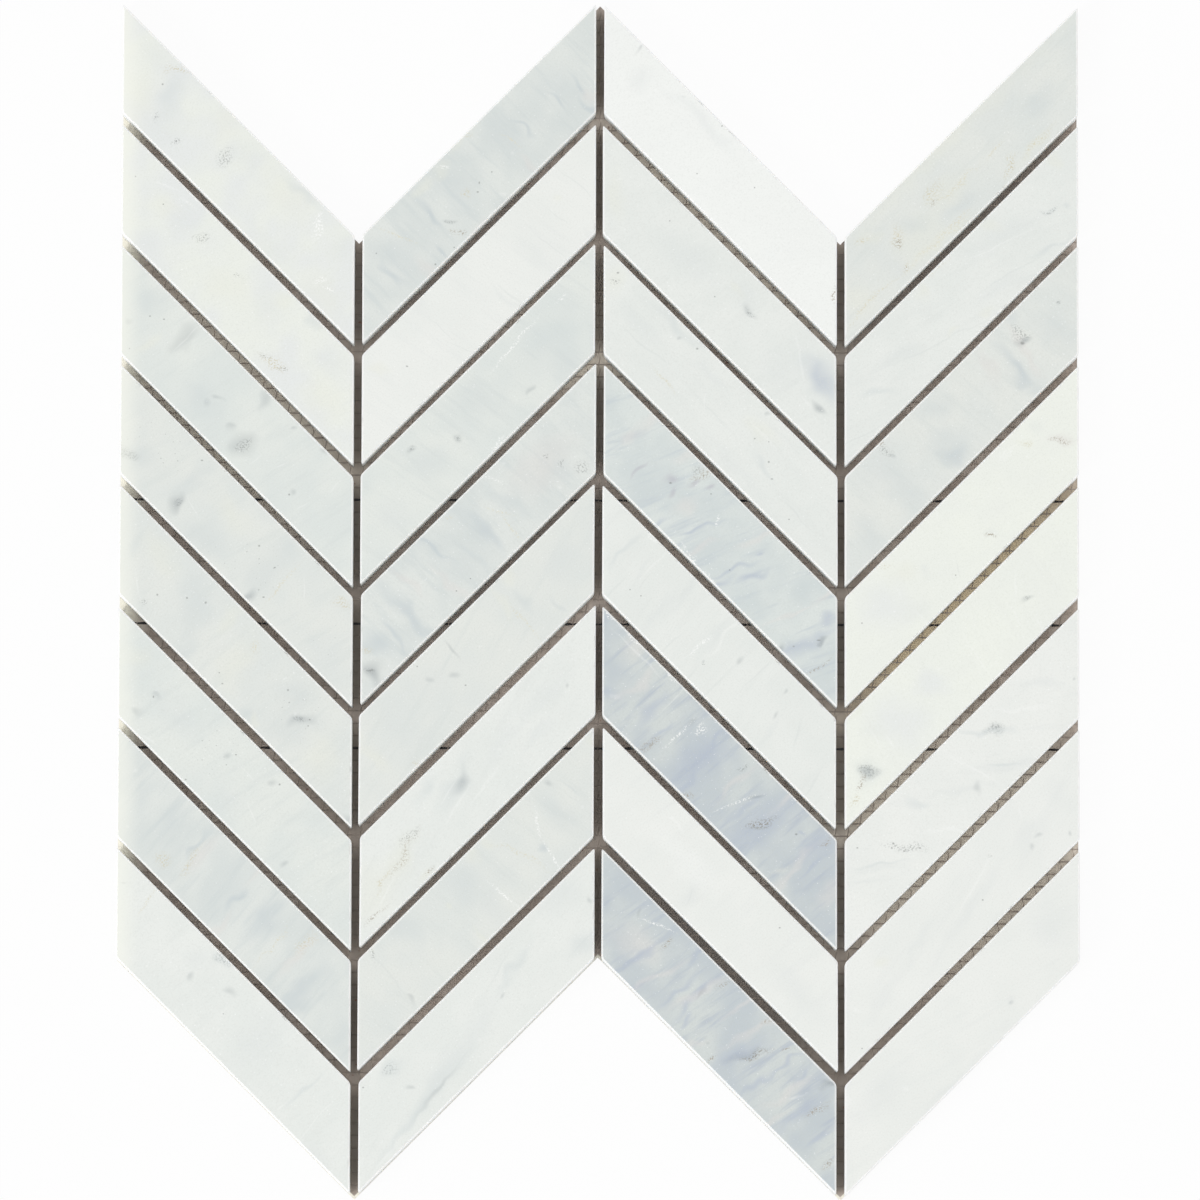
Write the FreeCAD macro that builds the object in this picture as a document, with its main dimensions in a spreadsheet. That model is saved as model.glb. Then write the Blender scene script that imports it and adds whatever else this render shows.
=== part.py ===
import FreeCAD, Part
import math
import os
import Sketcher

# Chevron wall tile: one sheet of sawn marble strips laid in chevron on a mesh backing.
# Millimetres. The sheet lies flat with its face up: X runs across the columns, Y along them
# and Z up. The origin is on the underside of the backing, at the middle of the sheet.

# Strips across the sheet and up it, counted from 1 at the upper left corner
COLUMNS = 4
ROWS = 8

# Driving dimensions
SIZES = (
    ("strip_width", 25.0, "width of a strip, square across its long sides"),
    ("strip_run", 75.0, "distance across the sheet between a strip's two mitred ends"),
    ("strip_angle", 45.0, "slope of the long sides against the sheet's X, in degrees"),
    ("stone_thickness", 9.5, "thickness of the sawn stone"),
    ("arris_size", 0.5, "bevel that is rubbed on every edge of a strip's face"),
    ("joint_width", 2.5, "open joint between strips, square across"),
    ("mesh_thickness", 0.5, "mesh backing with the adhesive that it is soaked in"),
    ("setting_shift", 0.25, "how far a hand-set strip may lie off its true place"),
    ("setting_turn", 0.12, "how far a hand-set strip may be turned off true, in degrees"),
    ("high_column_shift", 0.6, "how much too high the second column was set"),
)
HIGH_COLUMN = 2

# Sizes that follow from the driving dimensions, as formulas of the sheet's cells
STRIP_SIDE = "(Sizes.strip_width / cos(Sizes.strip_angle))"
JOINT_SIDE = "(Sizes.joint_width / cos(Sizes.strip_angle))"
ROW_PITCH = f"({STRIP_SIDE} + {JOINT_SIDE})"
COLUMN_PITCH = "(Sizes.strip_run + Sizes.joint_width)"
STACK_HEIGHT = f"({ROWS} * {ROW_PITCH} - {JOINT_SIDE})"
HALF_WIDTH = f"({COLUMNS} * {COLUMN_PITCH} - Sizes.joint_width) / 2"
CORNER_HEIGHT = f"({STACK_HEIGHT} + Sizes.strip_run * tan(Sizes.strip_angle)) / 2"


def size_sheet(doc):
    """The spreadsheet that holds the driving dimensions."""
    sheet = doc.addObject("Spreadsheet::Sheet", "Sizes")
    for line, (alias, value, meaning) in enumerate(SIZES, 1):
        sheet.set(f"A{line}", meaning)
        sheet.set(f"B{line}", str(value))
        sheet.setAlias(f"B{line}", alias)
    doc.recompute()
    return sheet


def worked_out(sheet, formula):
    """The value of a formula of the sheet's cells, as a plain number."""
    return float(sheet.evalExpression(formula))


def slope_of(column):
    """1 where a column's strips rise to the right, -1 where they fall: they take turns."""
    return 1 if column % 2 == 0 else -1


def flat_sketch(body, name):
    """A sketch on the body's own XY plane."""
    planes = [plane for plane in body.Origin.OriginFeatures if plane.Role == "XY_Plane"]
    sketch = body.newObject("Sketcher::SketchObject", name)
    sketch.AttachmentSupport = [(planes[0], "")]
    sketch.MapMode = "FlatFace"
    return sketch


def closed_outline(sketch, corners):
    """Lines from corner to corner and back to the first, joined at their ends."""
    points = [FreeCAD.Vector(x, y, 0) for x, y in corners]
    for start, end in zip(points, points[1:] + points[:1]):
        sketch.addGeometry(Part.LineSegment(start, end), False)
    for line in range(len(points)):
        following = (line + 1) % len(points)
        sketch.addConstraint(Sketcher.Constraint("Coincident", line, 2, following, 1))


def bound(sketch, name, formula, *constraint):
    """Add a dimension to the sketch and tie it to the size sheet."""
    index = sketch.addConstraint(Sketcher.Constraint(*constraint))
    sketch.renameConstraint(index, name)
    sketch.setExpression(f"Constraints.{name}", formula)


def strip_outline(body, sheet, slope):
    """A strip seen from above: upright mitred ends and sloping long sides, about its middle."""
    run = sheet.strip_run
    angle = slope * math.radians(sheet.strip_angle)
    rise = run * math.tan(angle)
    side = worked_out(sheet, STRIP_SIDE)
    sketch = flat_sketch(body, "strip_outline")
    closed_outline(sketch, (
        (-run / 2, (-rise - side) / 2),
        (run / 2, (rise - side) / 2),
        (run / 2, (rise + side) / 2),
        (-run / 2, (-rise + side) / 2),
    ))
    lower_side, right_end, upper_side, left_end = range(4)
    sketch.addConstraint(Sketcher.Constraint("Vertical", right_end))
    sketch.addConstraint(Sketcher.Constraint("Vertical", left_end))
    sketch.addConstraint(Sketcher.Constraint("Parallel", lower_side, upper_side))
    sketch.addConstraint(Sketcher.Constraint("Symmetric", lower_side, 1, upper_side, 1, -1, 1))
    bound(sketch, "run", "Sizes.strip_run", "DistanceX", lower_side, 1, lower_side, 2, run)
    bound(sketch, "slope", f"{slope} * Sizes.strip_angle", "Angle", lower_side, angle)
    bound(sketch, "width", "Sizes.strip_width",
          "Distance", upper_side, 2, lower_side, sheet.strip_width)
    return sketch


def setting_scatter(column, row, way):
    """A fixed share from -1 to 1: the setter's hand at one strip, another for each way."""
    return math.sin(2.4 * column + 1.7 * row * way + 0.9 * column * row + way)


def strip_place(column, row):
    """Where a strip lies: its place in the chevron, and off it by what hand setting leaves.

    The side columns were set against a straight edge, so their ends are in line.
    """
    from_middle = column - (COLUMNS + 1) / 2
    above_middle = (ROWS + 1) / 2 - row
    loose = 0 if column in (1, COLUMNS) else 1
    shift_across = loose * setting_scatter(column, row, 1)
    shift_along = setting_scatter(column, row, 2)
    turn = loose * setting_scatter(column, row, 3)
    high = 1 if column == HIGH_COLUMN else 0
    across = f"{from_middle} * {COLUMN_PITCH} + {shift_across:.3f} * Sizes.setting_shift"
    along = (f"{above_middle} * {ROW_PITCH} + {shift_along:.3f} * Sizes.setting_shift"
             f" + {high} * Sizes.high_column_shift")
    angle = f"{turn:.3f} * Sizes.setting_turn"
    return (f"placement(vector({across}; {along}; Sizes.mesh_thickness);"
            f" rotation(vector(0; 0; 1); {angle}))")


def marble_strip(doc, sheet, column, row):
    """One marble strip: sawn to a parallelogram, with an eased arris round its face."""
    body = doc.addObject("PartDesign::Body", f"chip_c{column}_r{row}")
    body.Label = f"chip_c{column}_r{row}"
    stone = body.newObject("PartDesign::Pad", "stone")
    stone.Profile = strip_outline(body, sheet, slope_of(column))
    stone.setExpression("Length", "Sizes.stone_thickness")
    doc.recompute()
    faces = stone.Shape.Faces
    face_up = max(range(len(faces)), key=lambda index: faces[index].CenterOfMass.z)
    arris = body.newObject("PartDesign::Chamfer", "arris")
    arris.Base = (stone, [f"Face{face_up + 1}"])
    arris.setExpression("Size", "Sizes.arris_size")
    body.Tip = arris
    body.setExpression("Placement", strip_place(column, row))
    return body


def column_share(column):
    """How much of the backing's width lies under a column, with half of each joint beside it."""
    if column in (1, COLUMNS):
        return f"({COLUMN_PITCH} - Sizes.joint_width / 2)"
    return COLUMN_PITCH


def backing_corners(sheet):
    """The zigzag top edge from left to right, then the bottom edge back to the left."""
    x = -worked_out(sheet, HALF_WIDTH)
    y = worked_out(sheet, CORNER_HEIGHT)
    height = worked_out(sheet, STACK_HEIGHT)
    top = [(x, y)]
    for column in range(1, COLUMNS + 1):
        step = worked_out(sheet, column_share(column))
        x += step
        y += slope_of(column) * step * math.tan(math.radians(sheet.strip_angle))
        top.append((x, y))
    return top + [(x, y - height) for x, y in reversed(top)]


def mesh_backing(doc, sheet):
    """The backing: glass-fibre mesh soaked in adhesive, cut to the sheet's zigzag outline."""
    body = doc.addObject("PartDesign::Body", "mesh_backing")
    body.Label = "mesh_backing"
    corners = backing_corners(sheet)
    sketch = flat_sketch(body, "backing_outline")
    closed_outline(sketch, corners)
    right_end = COLUMNS
    left_end = 2 * COLUMNS + 1
    sketch.addConstraint(Sketcher.Constraint("Vertical", right_end))
    sketch.addConstraint(Sketcher.Constraint("Vertical", left_end))
    for column in range(1, COLUMNS + 1):
        top_edge = column - 1
        bottom_edge = left_end - column
        angle = slope_of(column) * math.radians(sheet.strip_angle)
        step = corners[column][0] - corners[column - 1][0]
        sketch.addConstraint(Sketcher.Constraint("Parallel", top_edge, bottom_edge))
        bound(sketch, f"slope_{column}", f"{slope_of(column)} * Sizes.strip_angle",
              "Angle", top_edge, angle)
        bound(sketch, f"top_share_{column}", column_share(column),
              "DistanceX", top_edge, 1, top_edge, 2, step)
        if column < COLUMNS:
            bound(sketch, f"bottom_share_{column}", column_share(column),
                  "DistanceX", bottom_edge, 2, bottom_edge, 1, step)
    corner_x, corner_y = corners[0]
    bound(sketch, "half_width", HALF_WIDTH, "DistanceX", 0, 1, -1, 1, -corner_x)
    bound(sketch, "corner_height", CORNER_HEIGHT, "DistanceY", -1, 1, 0, 1, corner_y)
    bound(sketch, "stack_height", STACK_HEIGHT,
          "DistanceY", left_end, 1, left_end, 2, corners[0][1] - corners[-1][1])
    sheet_pad = body.newObject("PartDesign::Pad", "sheet")
    sheet_pad.Profile = sketch
    sheet_pad.setExpression("Length", "Sizes.mesh_thickness")
    body.Tip = sheet_pad
    return body


def check(doc, pieces):
    """Stop if anything in the document failed, or a piece is not one sound solid."""
    for item in doc.Objects:
        if "Invalid" in item.State or "Error" in item.State:
            raise RuntimeError(f"{item.Name} failed: {item.State}")
        if item.TypeId == "Sketcher::SketchObject" and item.solve() != 0:
            raise RuntimeError(f"{item.Name} can't be solved")
    for piece in pieces:
        shape = piece.Shape
        if shape.isNull() or not shape.isValid() or len(shape.Solids) != 1:
            raise RuntimeError(f"{piece.Label} is not one sound solid")


def main():
    doc = FreeCAD.newDocument("chevron_wall_tile")
    sheet = size_sheet(doc)
    pieces = [mesh_backing(doc, sheet)]
    for column in range(1, COLUMNS + 1):
        for row in range(1, ROWS + 1):
            pieces.append(marble_strip(doc, sheet, column, row))
    doc.recompute()
    check(doc, pieces)
    os.makedirs("parts", exist_ok=True)
    for piece in pieces:
        piece.Shape.exportStep(f"parts/{piece.Label}.step")
    print(len(pieces), "pieces written")


main()
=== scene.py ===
import math

import bmesh
import bpy
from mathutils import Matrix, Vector


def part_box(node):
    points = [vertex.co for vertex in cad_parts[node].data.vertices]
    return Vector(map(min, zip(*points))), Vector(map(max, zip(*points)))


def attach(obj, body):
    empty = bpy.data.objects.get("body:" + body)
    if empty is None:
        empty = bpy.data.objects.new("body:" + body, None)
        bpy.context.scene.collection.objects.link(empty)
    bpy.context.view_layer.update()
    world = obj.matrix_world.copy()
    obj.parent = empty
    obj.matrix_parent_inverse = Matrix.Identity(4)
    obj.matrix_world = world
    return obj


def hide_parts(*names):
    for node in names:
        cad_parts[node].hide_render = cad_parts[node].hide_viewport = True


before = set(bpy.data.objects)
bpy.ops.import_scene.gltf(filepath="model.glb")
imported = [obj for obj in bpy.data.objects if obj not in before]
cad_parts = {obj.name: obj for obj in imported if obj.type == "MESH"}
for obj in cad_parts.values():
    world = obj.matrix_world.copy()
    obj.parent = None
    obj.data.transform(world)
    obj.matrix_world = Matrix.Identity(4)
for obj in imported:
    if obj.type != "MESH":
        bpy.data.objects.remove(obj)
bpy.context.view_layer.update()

# The camera of the photograph: square on to the sheet, from a little way down it, so that the
# cut sides of the strips show faintly at the upper side of the joints, and held a hair askew.
MM = 0.001
FACE_HEIGHT = 10 * MM
PICTURE_HEIGHT = 384.0 * MM
PICTURE_MIDDLE_Y = -1.1 * MM
CAMERA_DISTANCE = 3.0
CAMERA_FOOT_X = 1.2 * MM
CAMERA_FOOT_Y = -300 * MM
CAMERA_ASKEW = 0.15
bpy.ops.object.camera_add(
    location=(CAMERA_FOOT_X, CAMERA_FOOT_Y, FACE_HEIGHT + CAMERA_DISTANCE),
    rotation=(math.atan2(PICTURE_MIDDLE_Y - CAMERA_FOOT_Y, CAMERA_DISTANCE), 0, math.radians(CAMERA_ASKEW)),
)
camera = bpy.context.object
camera.data.angle = 2 * math.atan(PICTURE_HEIGHT / 2 / math.hypot(CAMERA_DISTANCE, CAMERA_FOOT_Y))
bpy.context.scene.camera = camera


# The resin film. The strips lie face down in a jig, a glass-fibre mesh is pressed on to their
# backs and resin is rolled over it. It sets as one thin skin that fills the mesh, is cut to the
# chevron's zigzag, and shows at the bottom of every joint.
backing_low, backing_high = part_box("mesh_backing")
STRIP_RUN = 75 * MM
STRIP_WIDTH = 25 * MM
JOINT = 2.5 * MM
COLUMN_PITCH = STRIP_RUN + JOINT
OUTER_SHARE = COLUMN_PITCH - JOINT / 2
# The width of each column's share of the backing, and 1 where its edges rise to the right
COLUMN_SHARES = ((OUTER_SHARE, -1), (COLUMN_PITCH, 1), (COLUMN_PITCH, -1), (OUTER_SHARE, 1))
BACKING_FALL = backing_high.y - backing_low.y - COLUMN_PITCH
CORNER_Y = backing_high.y - COLUMN_PITCH + OUTER_SHARE
MIDDLE_OF_BACKING = (backing_low.z + backing_high.z) / 2
FILM_THICKNESS = 0.14 * MM
FILM_CUTS = 40


def unselect_all():
    """The next operator acts on nothing that was made before."""
    bpy.ops.object.select_all(action="DESELECT")


def edit(piece):
    """Go into edit mode on one piece, with all of it selected."""
    unselect_all()
    piece.select_set(True)
    bpy.context.view_layer.objects.active = piece
    bpy.ops.object.mode_set(mode="EDIT")
    bpy.ops.mesh.select_mode(type="VERT")
    bpy.ops.mesh.select_all(action="SELECT")


def leave_edit():
    bpy.ops.object.mode_set(mode="OBJECT")


def pick(kind, wanted):
    """Select just the faces, edges or verts of the edited piece that are wanted."""
    bpy.ops.mesh.select_all(action="DESELECT")
    bpy.ops.mesh.select_mode(type={"verts": "VERT", "edges": "EDGE", "faces": "FACE"}[kind])
    shape = bmesh.from_edit_mesh(bpy.context.edit_object.data)
    for item in getattr(shape, kind):
        if wanted(item):
            item.select_set(True)
    bmesh.update_edit_mesh(bpy.context.edit_object.data)


unselect_all()
bpy.ops.mesh.primitive_plane_add(size=1, rotation=(0, math.pi / 2, 0))
film = bpy.context.object
film.name = "resin_film"
bpy.ops.object.transform_apply(location=True, rotation=True, scale=True)
edit(film)
bpy.ops.transform.resize(value=(1, BACKING_FALL, FILM_THICKNESS))
bpy.ops.transform.translate(value=(backing_low.x, CORNER_Y - BACKING_FALL / 2, MIDDLE_OF_BACKING))
for share, slope in COLUMN_SHARES:
    bpy.ops.mesh.extrude_region_move(TRANSFORM_OT_translate={"value": (share, slope * share, 0)})
bpy.ops.mesh.select_all(action="SELECT")
bpy.ops.mesh.normals_make_consistent(inside=False)
pick("edges", lambda edge: abs(edge.verts[0].co.z - edge.verts[1].co.z) < FILM_THICKNESS / 2)
bpy.ops.mesh.subdivide(number_cuts=FILM_CUTS)
leave_edit()


def add_node(tree, kind, settings, inputs):
    """A node with its options set, and its inputs filled with values or with what another gives."""
    made = tree.nodes.new(kind)
    for name, value in settings.items():
        setattr(made, name, value)
    for name, value in inputs.items():
        if isinstance(value, bpy.types.NodeSocket):
            tree.links.new(value, made.inputs[name])
        else:
            made.inputs[name].default_value = value
    return made


def on_screen(red, green, blue):
    """A colour written as it looks on a screen, turned into the shader's linear values."""
    parts = []
    for part in (red, green, blue):
        level = part / 255
        parts.append(level / 12.92 if level <= 0.04045 else ((level + 0.055) / 1.055) ** 2.4)
    return (*parts, 1)


def new_finish(name):
    """An empty material: its node tree, its shader and the piece's own coordinates in metres."""
    material = bpy.data.materials.new(name)
    material.use_nodes = True
    tree = material.node_tree
    shader = tree.nodes["Principled BSDF"]
    place = add_node(tree, "ShaderNodeTexCoord", {}, {}).outputs["Object"]
    return material, tree, shader, place


def mapped(tree, place, middle=(0, 0, 0), turn=0.0, size=(1, 1, 1)):
    """Coordinates about a middle point, turned in the sheet's plane, in units of size."""
    return add_node(tree, "ShaderNodeMapping", {"vector_type": "TEXTURE"}, {
        "Vector": place,
        "Location": middle,
        "Rotation": (0, 0, math.radians(turn)),
        "Scale": size,
    }).outputs[0]


def noise(tree, place, scale, detail=3.0, roughness=0.5, distortion=0.0):
    return add_node(tree, "ShaderNodeTexNoise", {}, {
        "Vector": place,
        "Scale": scale,
        "Detail": detail,
        "Roughness": roughness,
        "Distortion": distortion,
    }).outputs[0]


def between(tree, value, low, high, bottom=0.0, top=1.0):
    """Carry a value from the range low to high smoothly on to the range bottom to top."""
    return add_node(tree, "ShaderNodeMapRange", {"interpolation_type": "SMOOTHSTEP"}, {
        "Value": value,
        "From Min": low,
        "From Max": high,
        "To Min": bottom,
        "To Max": top,
    }).outputs[0]


def arithmetic(tree, operation, first, second):
    return add_node(tree, "ShaderNodeMath", {"operation": operation}, {0: first, 1: second}).outputs[0]


def laid_over(tree, under, over, amount):
    """One colour laid over another as thickly as amount says."""
    mix = add_node(tree, "ShaderNodeMix", {"data_type": "RGBA"}, {0: amount, 6: under, 7: over})
    return mix.outputs[2]


def bumped(tree, shader, height, depth):
    """Raise the surface by the height value times depth, in metres."""
    bump = add_node(tree, "ShaderNodeBump", {}, {"Height": height, "Distance": depth})
    tree.links.new(bump.outputs[0], shader.inputs["Normal"])


def uneven(tree, place, scale):
    """A push from -0.5 to 0.5 in each direction, that wanders over the piece."""
    push = add_node(tree, "ShaderNodeTexNoise", {}, {
        "Vector": place,
        "Scale": scale,
        "Detail": 1.0,
        "Roughness": 0.6,
    })
    return add_node(tree, "ShaderNodeVectorMath", {"operation": "SUBTRACT"},
                    {0: push.outputs["Color"], 1: (0.5, 0.5, 0.5)}).outputs[0]


def ragged(tree, place, push, amount):
    """Coordinates that are pushed about, so that what is drawn on them has uneven edges."""
    return add_node(tree, "ShaderNodeVectorMath", {"operation": "MULTIPLY_ADD"},
                    {0: push, 1: (amount, amount, amount), 2: place}).outputs[0]


MESH_PITCH = 4 * MM
ROW_PITCH = (STRIP_WIDTH + JOINT) * math.sqrt(2)
LOWER_EDGE = backing_high.y - BACKING_FALL


def where_it_lies(tree, place):
    """How far a point of the backing is under stone, in a column's seam, where painted shade goes, and at an
    open edge, where painted light goes at the left ends and a pale rim at the lower edge.
    """
    sides = add_node(tree, "ShaderNodeSeparateXYZ", {}, {0: place})
    to_seam = arithmetic(tree, "PINGPONG", sides.outputs[0], COLUMN_PITCH / 2)
    up_the_chevron = arithmetic(tree, "ADD", sides.outputs[1],
                                arithmetic(tree, "PINGPONG", sides.outputs[0], COLUMN_PITCH))
    to_joint = arithmetic(tree, "PINGPONG",
                          arithmetic(tree, "SUBTRACT", up_the_chevron, COLUMN_PITCH / 2), ROW_PITCH / 2)
    # Painted shade: the deep, narrow seams between columns are darkened, less so near the nodes where more
    # light gets in
    seam_shade = arithmetic(tree, "MULTIPLY", between(tree, to_seam, 1.3 * MM, 2.2 * MM, 1, 0),
                         between(tree, to_joint, -2 * MM, 10 * MM, 0.25, 1))
    on_stone = arithmetic(tree, "MULTIPLY", between(tree, to_joint, 2.4 * MM, 3.4 * MM),
                          between(tree, to_seam, 1.8 * MM, 2.8 * MM))
    # Painted light: the film at the open left ends is lightened over their first 10 mm
    left_end_light = between(tree, sides.outputs[0], backing_low.x + 1 * MM, backing_low.x + 10 * MM, 1, 0)
    lit_ends_and_low_rim = arithmetic(tree, "MAXIMUM", left_end_light,
                         between(tree, up_the_chevron, LOWER_EDGE + 0.8 * MM, LOWER_EDGE + 1.4 * MM, 1, 0))
    return on_stone, seam_shade, lit_ends_and_low_rim


# Broad patches where the film is painted paler, tanner or darker: right of the sheet's middle and above it,
# how long and wide, and how the length is turned, in millimetres and degrees
UNEVEN_FILM = (
    ("pale", 36, 120, 115, 22, -45), ("pale", 0, 82, 60, 40, 0), ("tan", 118, 0, 115, 26, 45),
    ("pale", 116, -80, 120, 100, 0), ("pale", -116, 60, 110, 70, -45), ("dark", -39, 18, 110, 56, 45),
    ("dark", 115, 117, 110, 20, 45), ("dark", 39, -116, 110, 24, -45), ("dark", -45, 112, 90, 24, 45),
    ("dim", -39, -78, 105, 84, 45),
)
FILM_TINTS = {"pale": (252, 241, 226), "tan": (252, 232, 196), "dim": (168, 156, 147),
              "dark": (150, 140, 133)}

resin, tree, shader, place = new_finish("resin")
on_stone, seam_shade, lit_ends_and_low_rim = where_it_lies(tree, place)
cell = mapped(tree, place, size=(MESH_PITCH, MESH_PITCH, MESH_PITCH))
in_cell = add_node(tree, "ShaderNodeVectorMath", {"operation": "FRACTION"}, {0: cell}).outputs[0]
in_cell = mapped(tree, in_cell, middle=(0.5, 0.5, 0), size=(1, 1, 1000))
from_middle = add_node(tree, "ShaderNodeVectorMath", {"operation": "LENGTH"}, {0: in_cell}).outputs["Value"]
blotch = noise(tree, place, 70, detail=2.0)
colour = laid_over(tree, on_screen(192, 177, 166), on_screen(217, 203, 193),
                   between(tree, blotch, 0.35, 0.65))
for tint, right, up, length, width, turn in UNEVEN_FILM:
    about = mapped(tree, place, middle=(right * MM, up * MM, 0), turn=turn,
                   size=(length / 2 * MM, width / 2 * MM, 1))
    out = add_node(tree, "ShaderNodeVectorMath", {"operation": "LENGTH"}, {0: about}).outputs["Value"]
    colour = laid_over(tree, colour, on_screen(*FILM_TINTS[tint]), between(tree, out, 0.4, 1.2, 0.85, 0))
# A meniscus of resin stands round the inside of each cell, and a thin ring of painted shade lies at its
# foot, where the strands shade the film
meniscus_shade = arithmetic(tree, "MULTIPLY", between(tree, from_middle, 0.28, 0.40),
                 between(tree, from_middle, 0.40, 0.48, 1, 0))
colour = laid_over(tree, colour, on_screen(116, 104, 98), arithmetic(tree, "MULTIPLY", meniscus_shade, 0.15))
colour = laid_over(tree, colour, on_screen(226, 222, 213), arithmetic(tree, "MULTIPLY", on_stone, 0.85))
# Painted shade along the seams between columns
colour = laid_over(tree, colour, on_screen(121, 111, 102), arithmetic(tree, "MULTIPLY", seam_shade, 0.85))
specks = noise(tree, place, 500, detail=1.0)
colour = laid_over(tree, colour, on_screen(120, 66, 48), between(tree, specks, 0.74, 0.79, 0, 0.6))
# Painted light at the open left ends, where light from the left falls into the joints, and a pale rim along
# the lower edge
colour = laid_over(tree, colour, on_screen(250, 246, 232), lit_ends_and_low_rim)
tree.links.new(colour, shader.inputs["Base Color"])
shader.inputs["Roughness"].default_value = 0.5
bumped(tree, shader, blotch, 0.5 * MM)
film.data.materials.append(resin)
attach(film, "root")
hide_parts("mesh_backing")


# The glass-fibre mesh in the film: flat weft strands across the sheet and, every 4 mm, a pair of
# thin warp ends that twist round them. Every tenth weft is a black tracer for cutting by; only the
# three that lie in the sheet's middle are made black.
WEFT_WIDTH = 0.75 * MM
WEFT_THICKNESS = 0.30 * MM
WARP_WIDTH = 0.30 * MM
WARP_THICKNESS = 0.22 * MM
WARP_TWIST_ACROSS = 0.20 * MM
WARP_TWIST_UP = 0.12 * MM
TRACER_LINES = (32 * MM, -8 * MM, -48 * MM)
# How wide the weft is where the warp pinches it, and how much wider and thicker a tracer is
WEFT_PINCH = 0.72
TRACER_WIDER = 1.45
TRACER_THICKER = 1.15
WELD_WITHIN = 0.002 * MM


def in_rows(strand, steps):
    """Repeat a strand's short piece by each count and step, and weld the repeats end to end."""
    for count, step in steps:
        row = strand.modifiers.new("row", "ARRAY")
        row.use_relative_offset = False
        row.use_constant_offset = True
        row.constant_offset_displace = step
        row.count = count
        row.use_merge_vertices = True
        row.merge_threshold = WELD_WITHIN
        bpy.ops.object.modifier_apply(modifier=row.name)


def cut_to_zigzag(strands):
    """Trim strands to the backing's outline, column by column."""
    name = strands.name
    left = backing_low.x
    corner = CORNER_Y
    columns = []
    for number, (share, slope) in enumerate(COLUMN_SHARES):
        unselect_all()
        strands.select_set(True)
        bpy.context.view_layer.objects.active = strands
        bpy.ops.object.duplicate()
        column = bpy.context.object
        edit(column)
        bpy.ops.mesh.bisect(plane_co=(left, 0, 0), plane_no=(-1, 0, 0),
                            clear_outer=True, use_fill=number == 0)
        bpy.ops.mesh.select_all(action="SELECT")
        bpy.ops.mesh.bisect(plane_co=(left + share, 0, 0), plane_no=(1, 0, 0),
                            clear_outer=True, use_fill=number == len(COLUMN_SHARES) - 1)
        bpy.ops.mesh.select_all(action="SELECT")
        bpy.ops.mesh.bisect(plane_co=(left, corner, 0), plane_no=(-slope, 1, 0),
                            clear_outer=True, use_fill=True)
        bpy.ops.mesh.select_all(action="SELECT")
        bpy.ops.mesh.bisect(plane_co=(left, corner - BACKING_FALL, 0), plane_no=(slope, -1, 0),
                            clear_outer=True, use_fill=True)
        leave_edit()
        columns.append(column)
        left += share
        corner += slope * share
    bpy.data.objects.remove(strands)
    unselect_all()
    for column in columns:
        column.select_set(True)
    bpy.context.view_layer.objects.active = columns[0]
    bpy.ops.object.join()
    joined = bpy.context.object
    joined.name = name
    edit(joined)
    bpy.ops.mesh.remove_doubles(threshold=WELD_WITHIN)
    bpy.ops.mesh.normals_make_consistent(inside=False)
    leave_edit()
    bpy.ops.object.shade_smooth_by_angle(angle=math.radians(75))
    return joined


def whole_cells(length):
    """An even number of mesh cells that covers a length on both sides of the middle."""
    return 2 * math.ceil(length / MESH_PITCH)


CELLS_ACROSS = whole_cells(backing_high.x)
CELLS_ALONG = whole_cells(backing_high.y)

unselect_all()
bpy.ops.mesh.primitive_cylinder_add(vertices=6, radius=0.5, depth=1, end_fill_type="NOTHING",
                                    rotation=(0, math.pi / 2, 0))
weft = bpy.context.object
weft.name = "mesh_weft"
bpy.ops.object.transform_apply(location=True, rotation=True, scale=True)
edit(weft)
bpy.ops.transform.resize(value=(MESH_PITCH / 2, WEFT_WIDTH, WEFT_THICKNESS))
bpy.ops.transform.translate(value=(MESH_PITCH / 4 - CELLS_ACROSS / 2 * MESH_PITCH,
                                   -CELLS_ALONG / 2 * MESH_PITCH, MIDDLE_OF_BACKING))
# Each cell's weft is pinched where the warp crosses it, and spreads out between
middle_x = MESH_PITCH / 2 - CELLS_ACROSS / 2 * MESH_PITCH
pick("edges", lambda edge: all(abs(vert.co.x - middle_x) < 0.1 * MM for vert in edge.verts))
bpy.ops.mesh.extrude_region_move(TRANSFORM_OT_translate={"value": (MESH_PITCH / 2, 0, 0)})
pick("edges", lambda edge: all(abs(vert.co.x - middle_x) > 1.9 * MM for vert in edge.verts))
bpy.ops.transform.resize(value=(1, WEFT_PINCH, 1))
leave_edit()
in_rows(weft, ((CELLS_ACROSS, (MESH_PITCH, 0, 0)), (CELLS_ALONG + 1, (0, MESH_PITCH, 0))))
weft = cut_to_zigzag(weft)

edit(weft)
pick("faces", lambda face: any(abs(face.calc_center_median().y - line) < MM for line in TRACER_LINES))
bpy.ops.mesh.separate(type="SELECTED")
leave_edit()
tracer = next(piece for piece in bpy.context.selected_objects if piece != weft)
tracer.name = "mesh_tracer"
# The tracers are a thicker yarn than the rest, and stand a little proud of the film
edit(tracer)
for line in TRACER_LINES:
    pick("verts", lambda vert: abs(vert.co.y - line) < MM)
    bpy.ops.transform.resize(value=(1, TRACER_WIDER, TRACER_THICKER),
                             center_override=(0, line, MIDDLE_OF_BACKING))
leave_edit()


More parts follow.
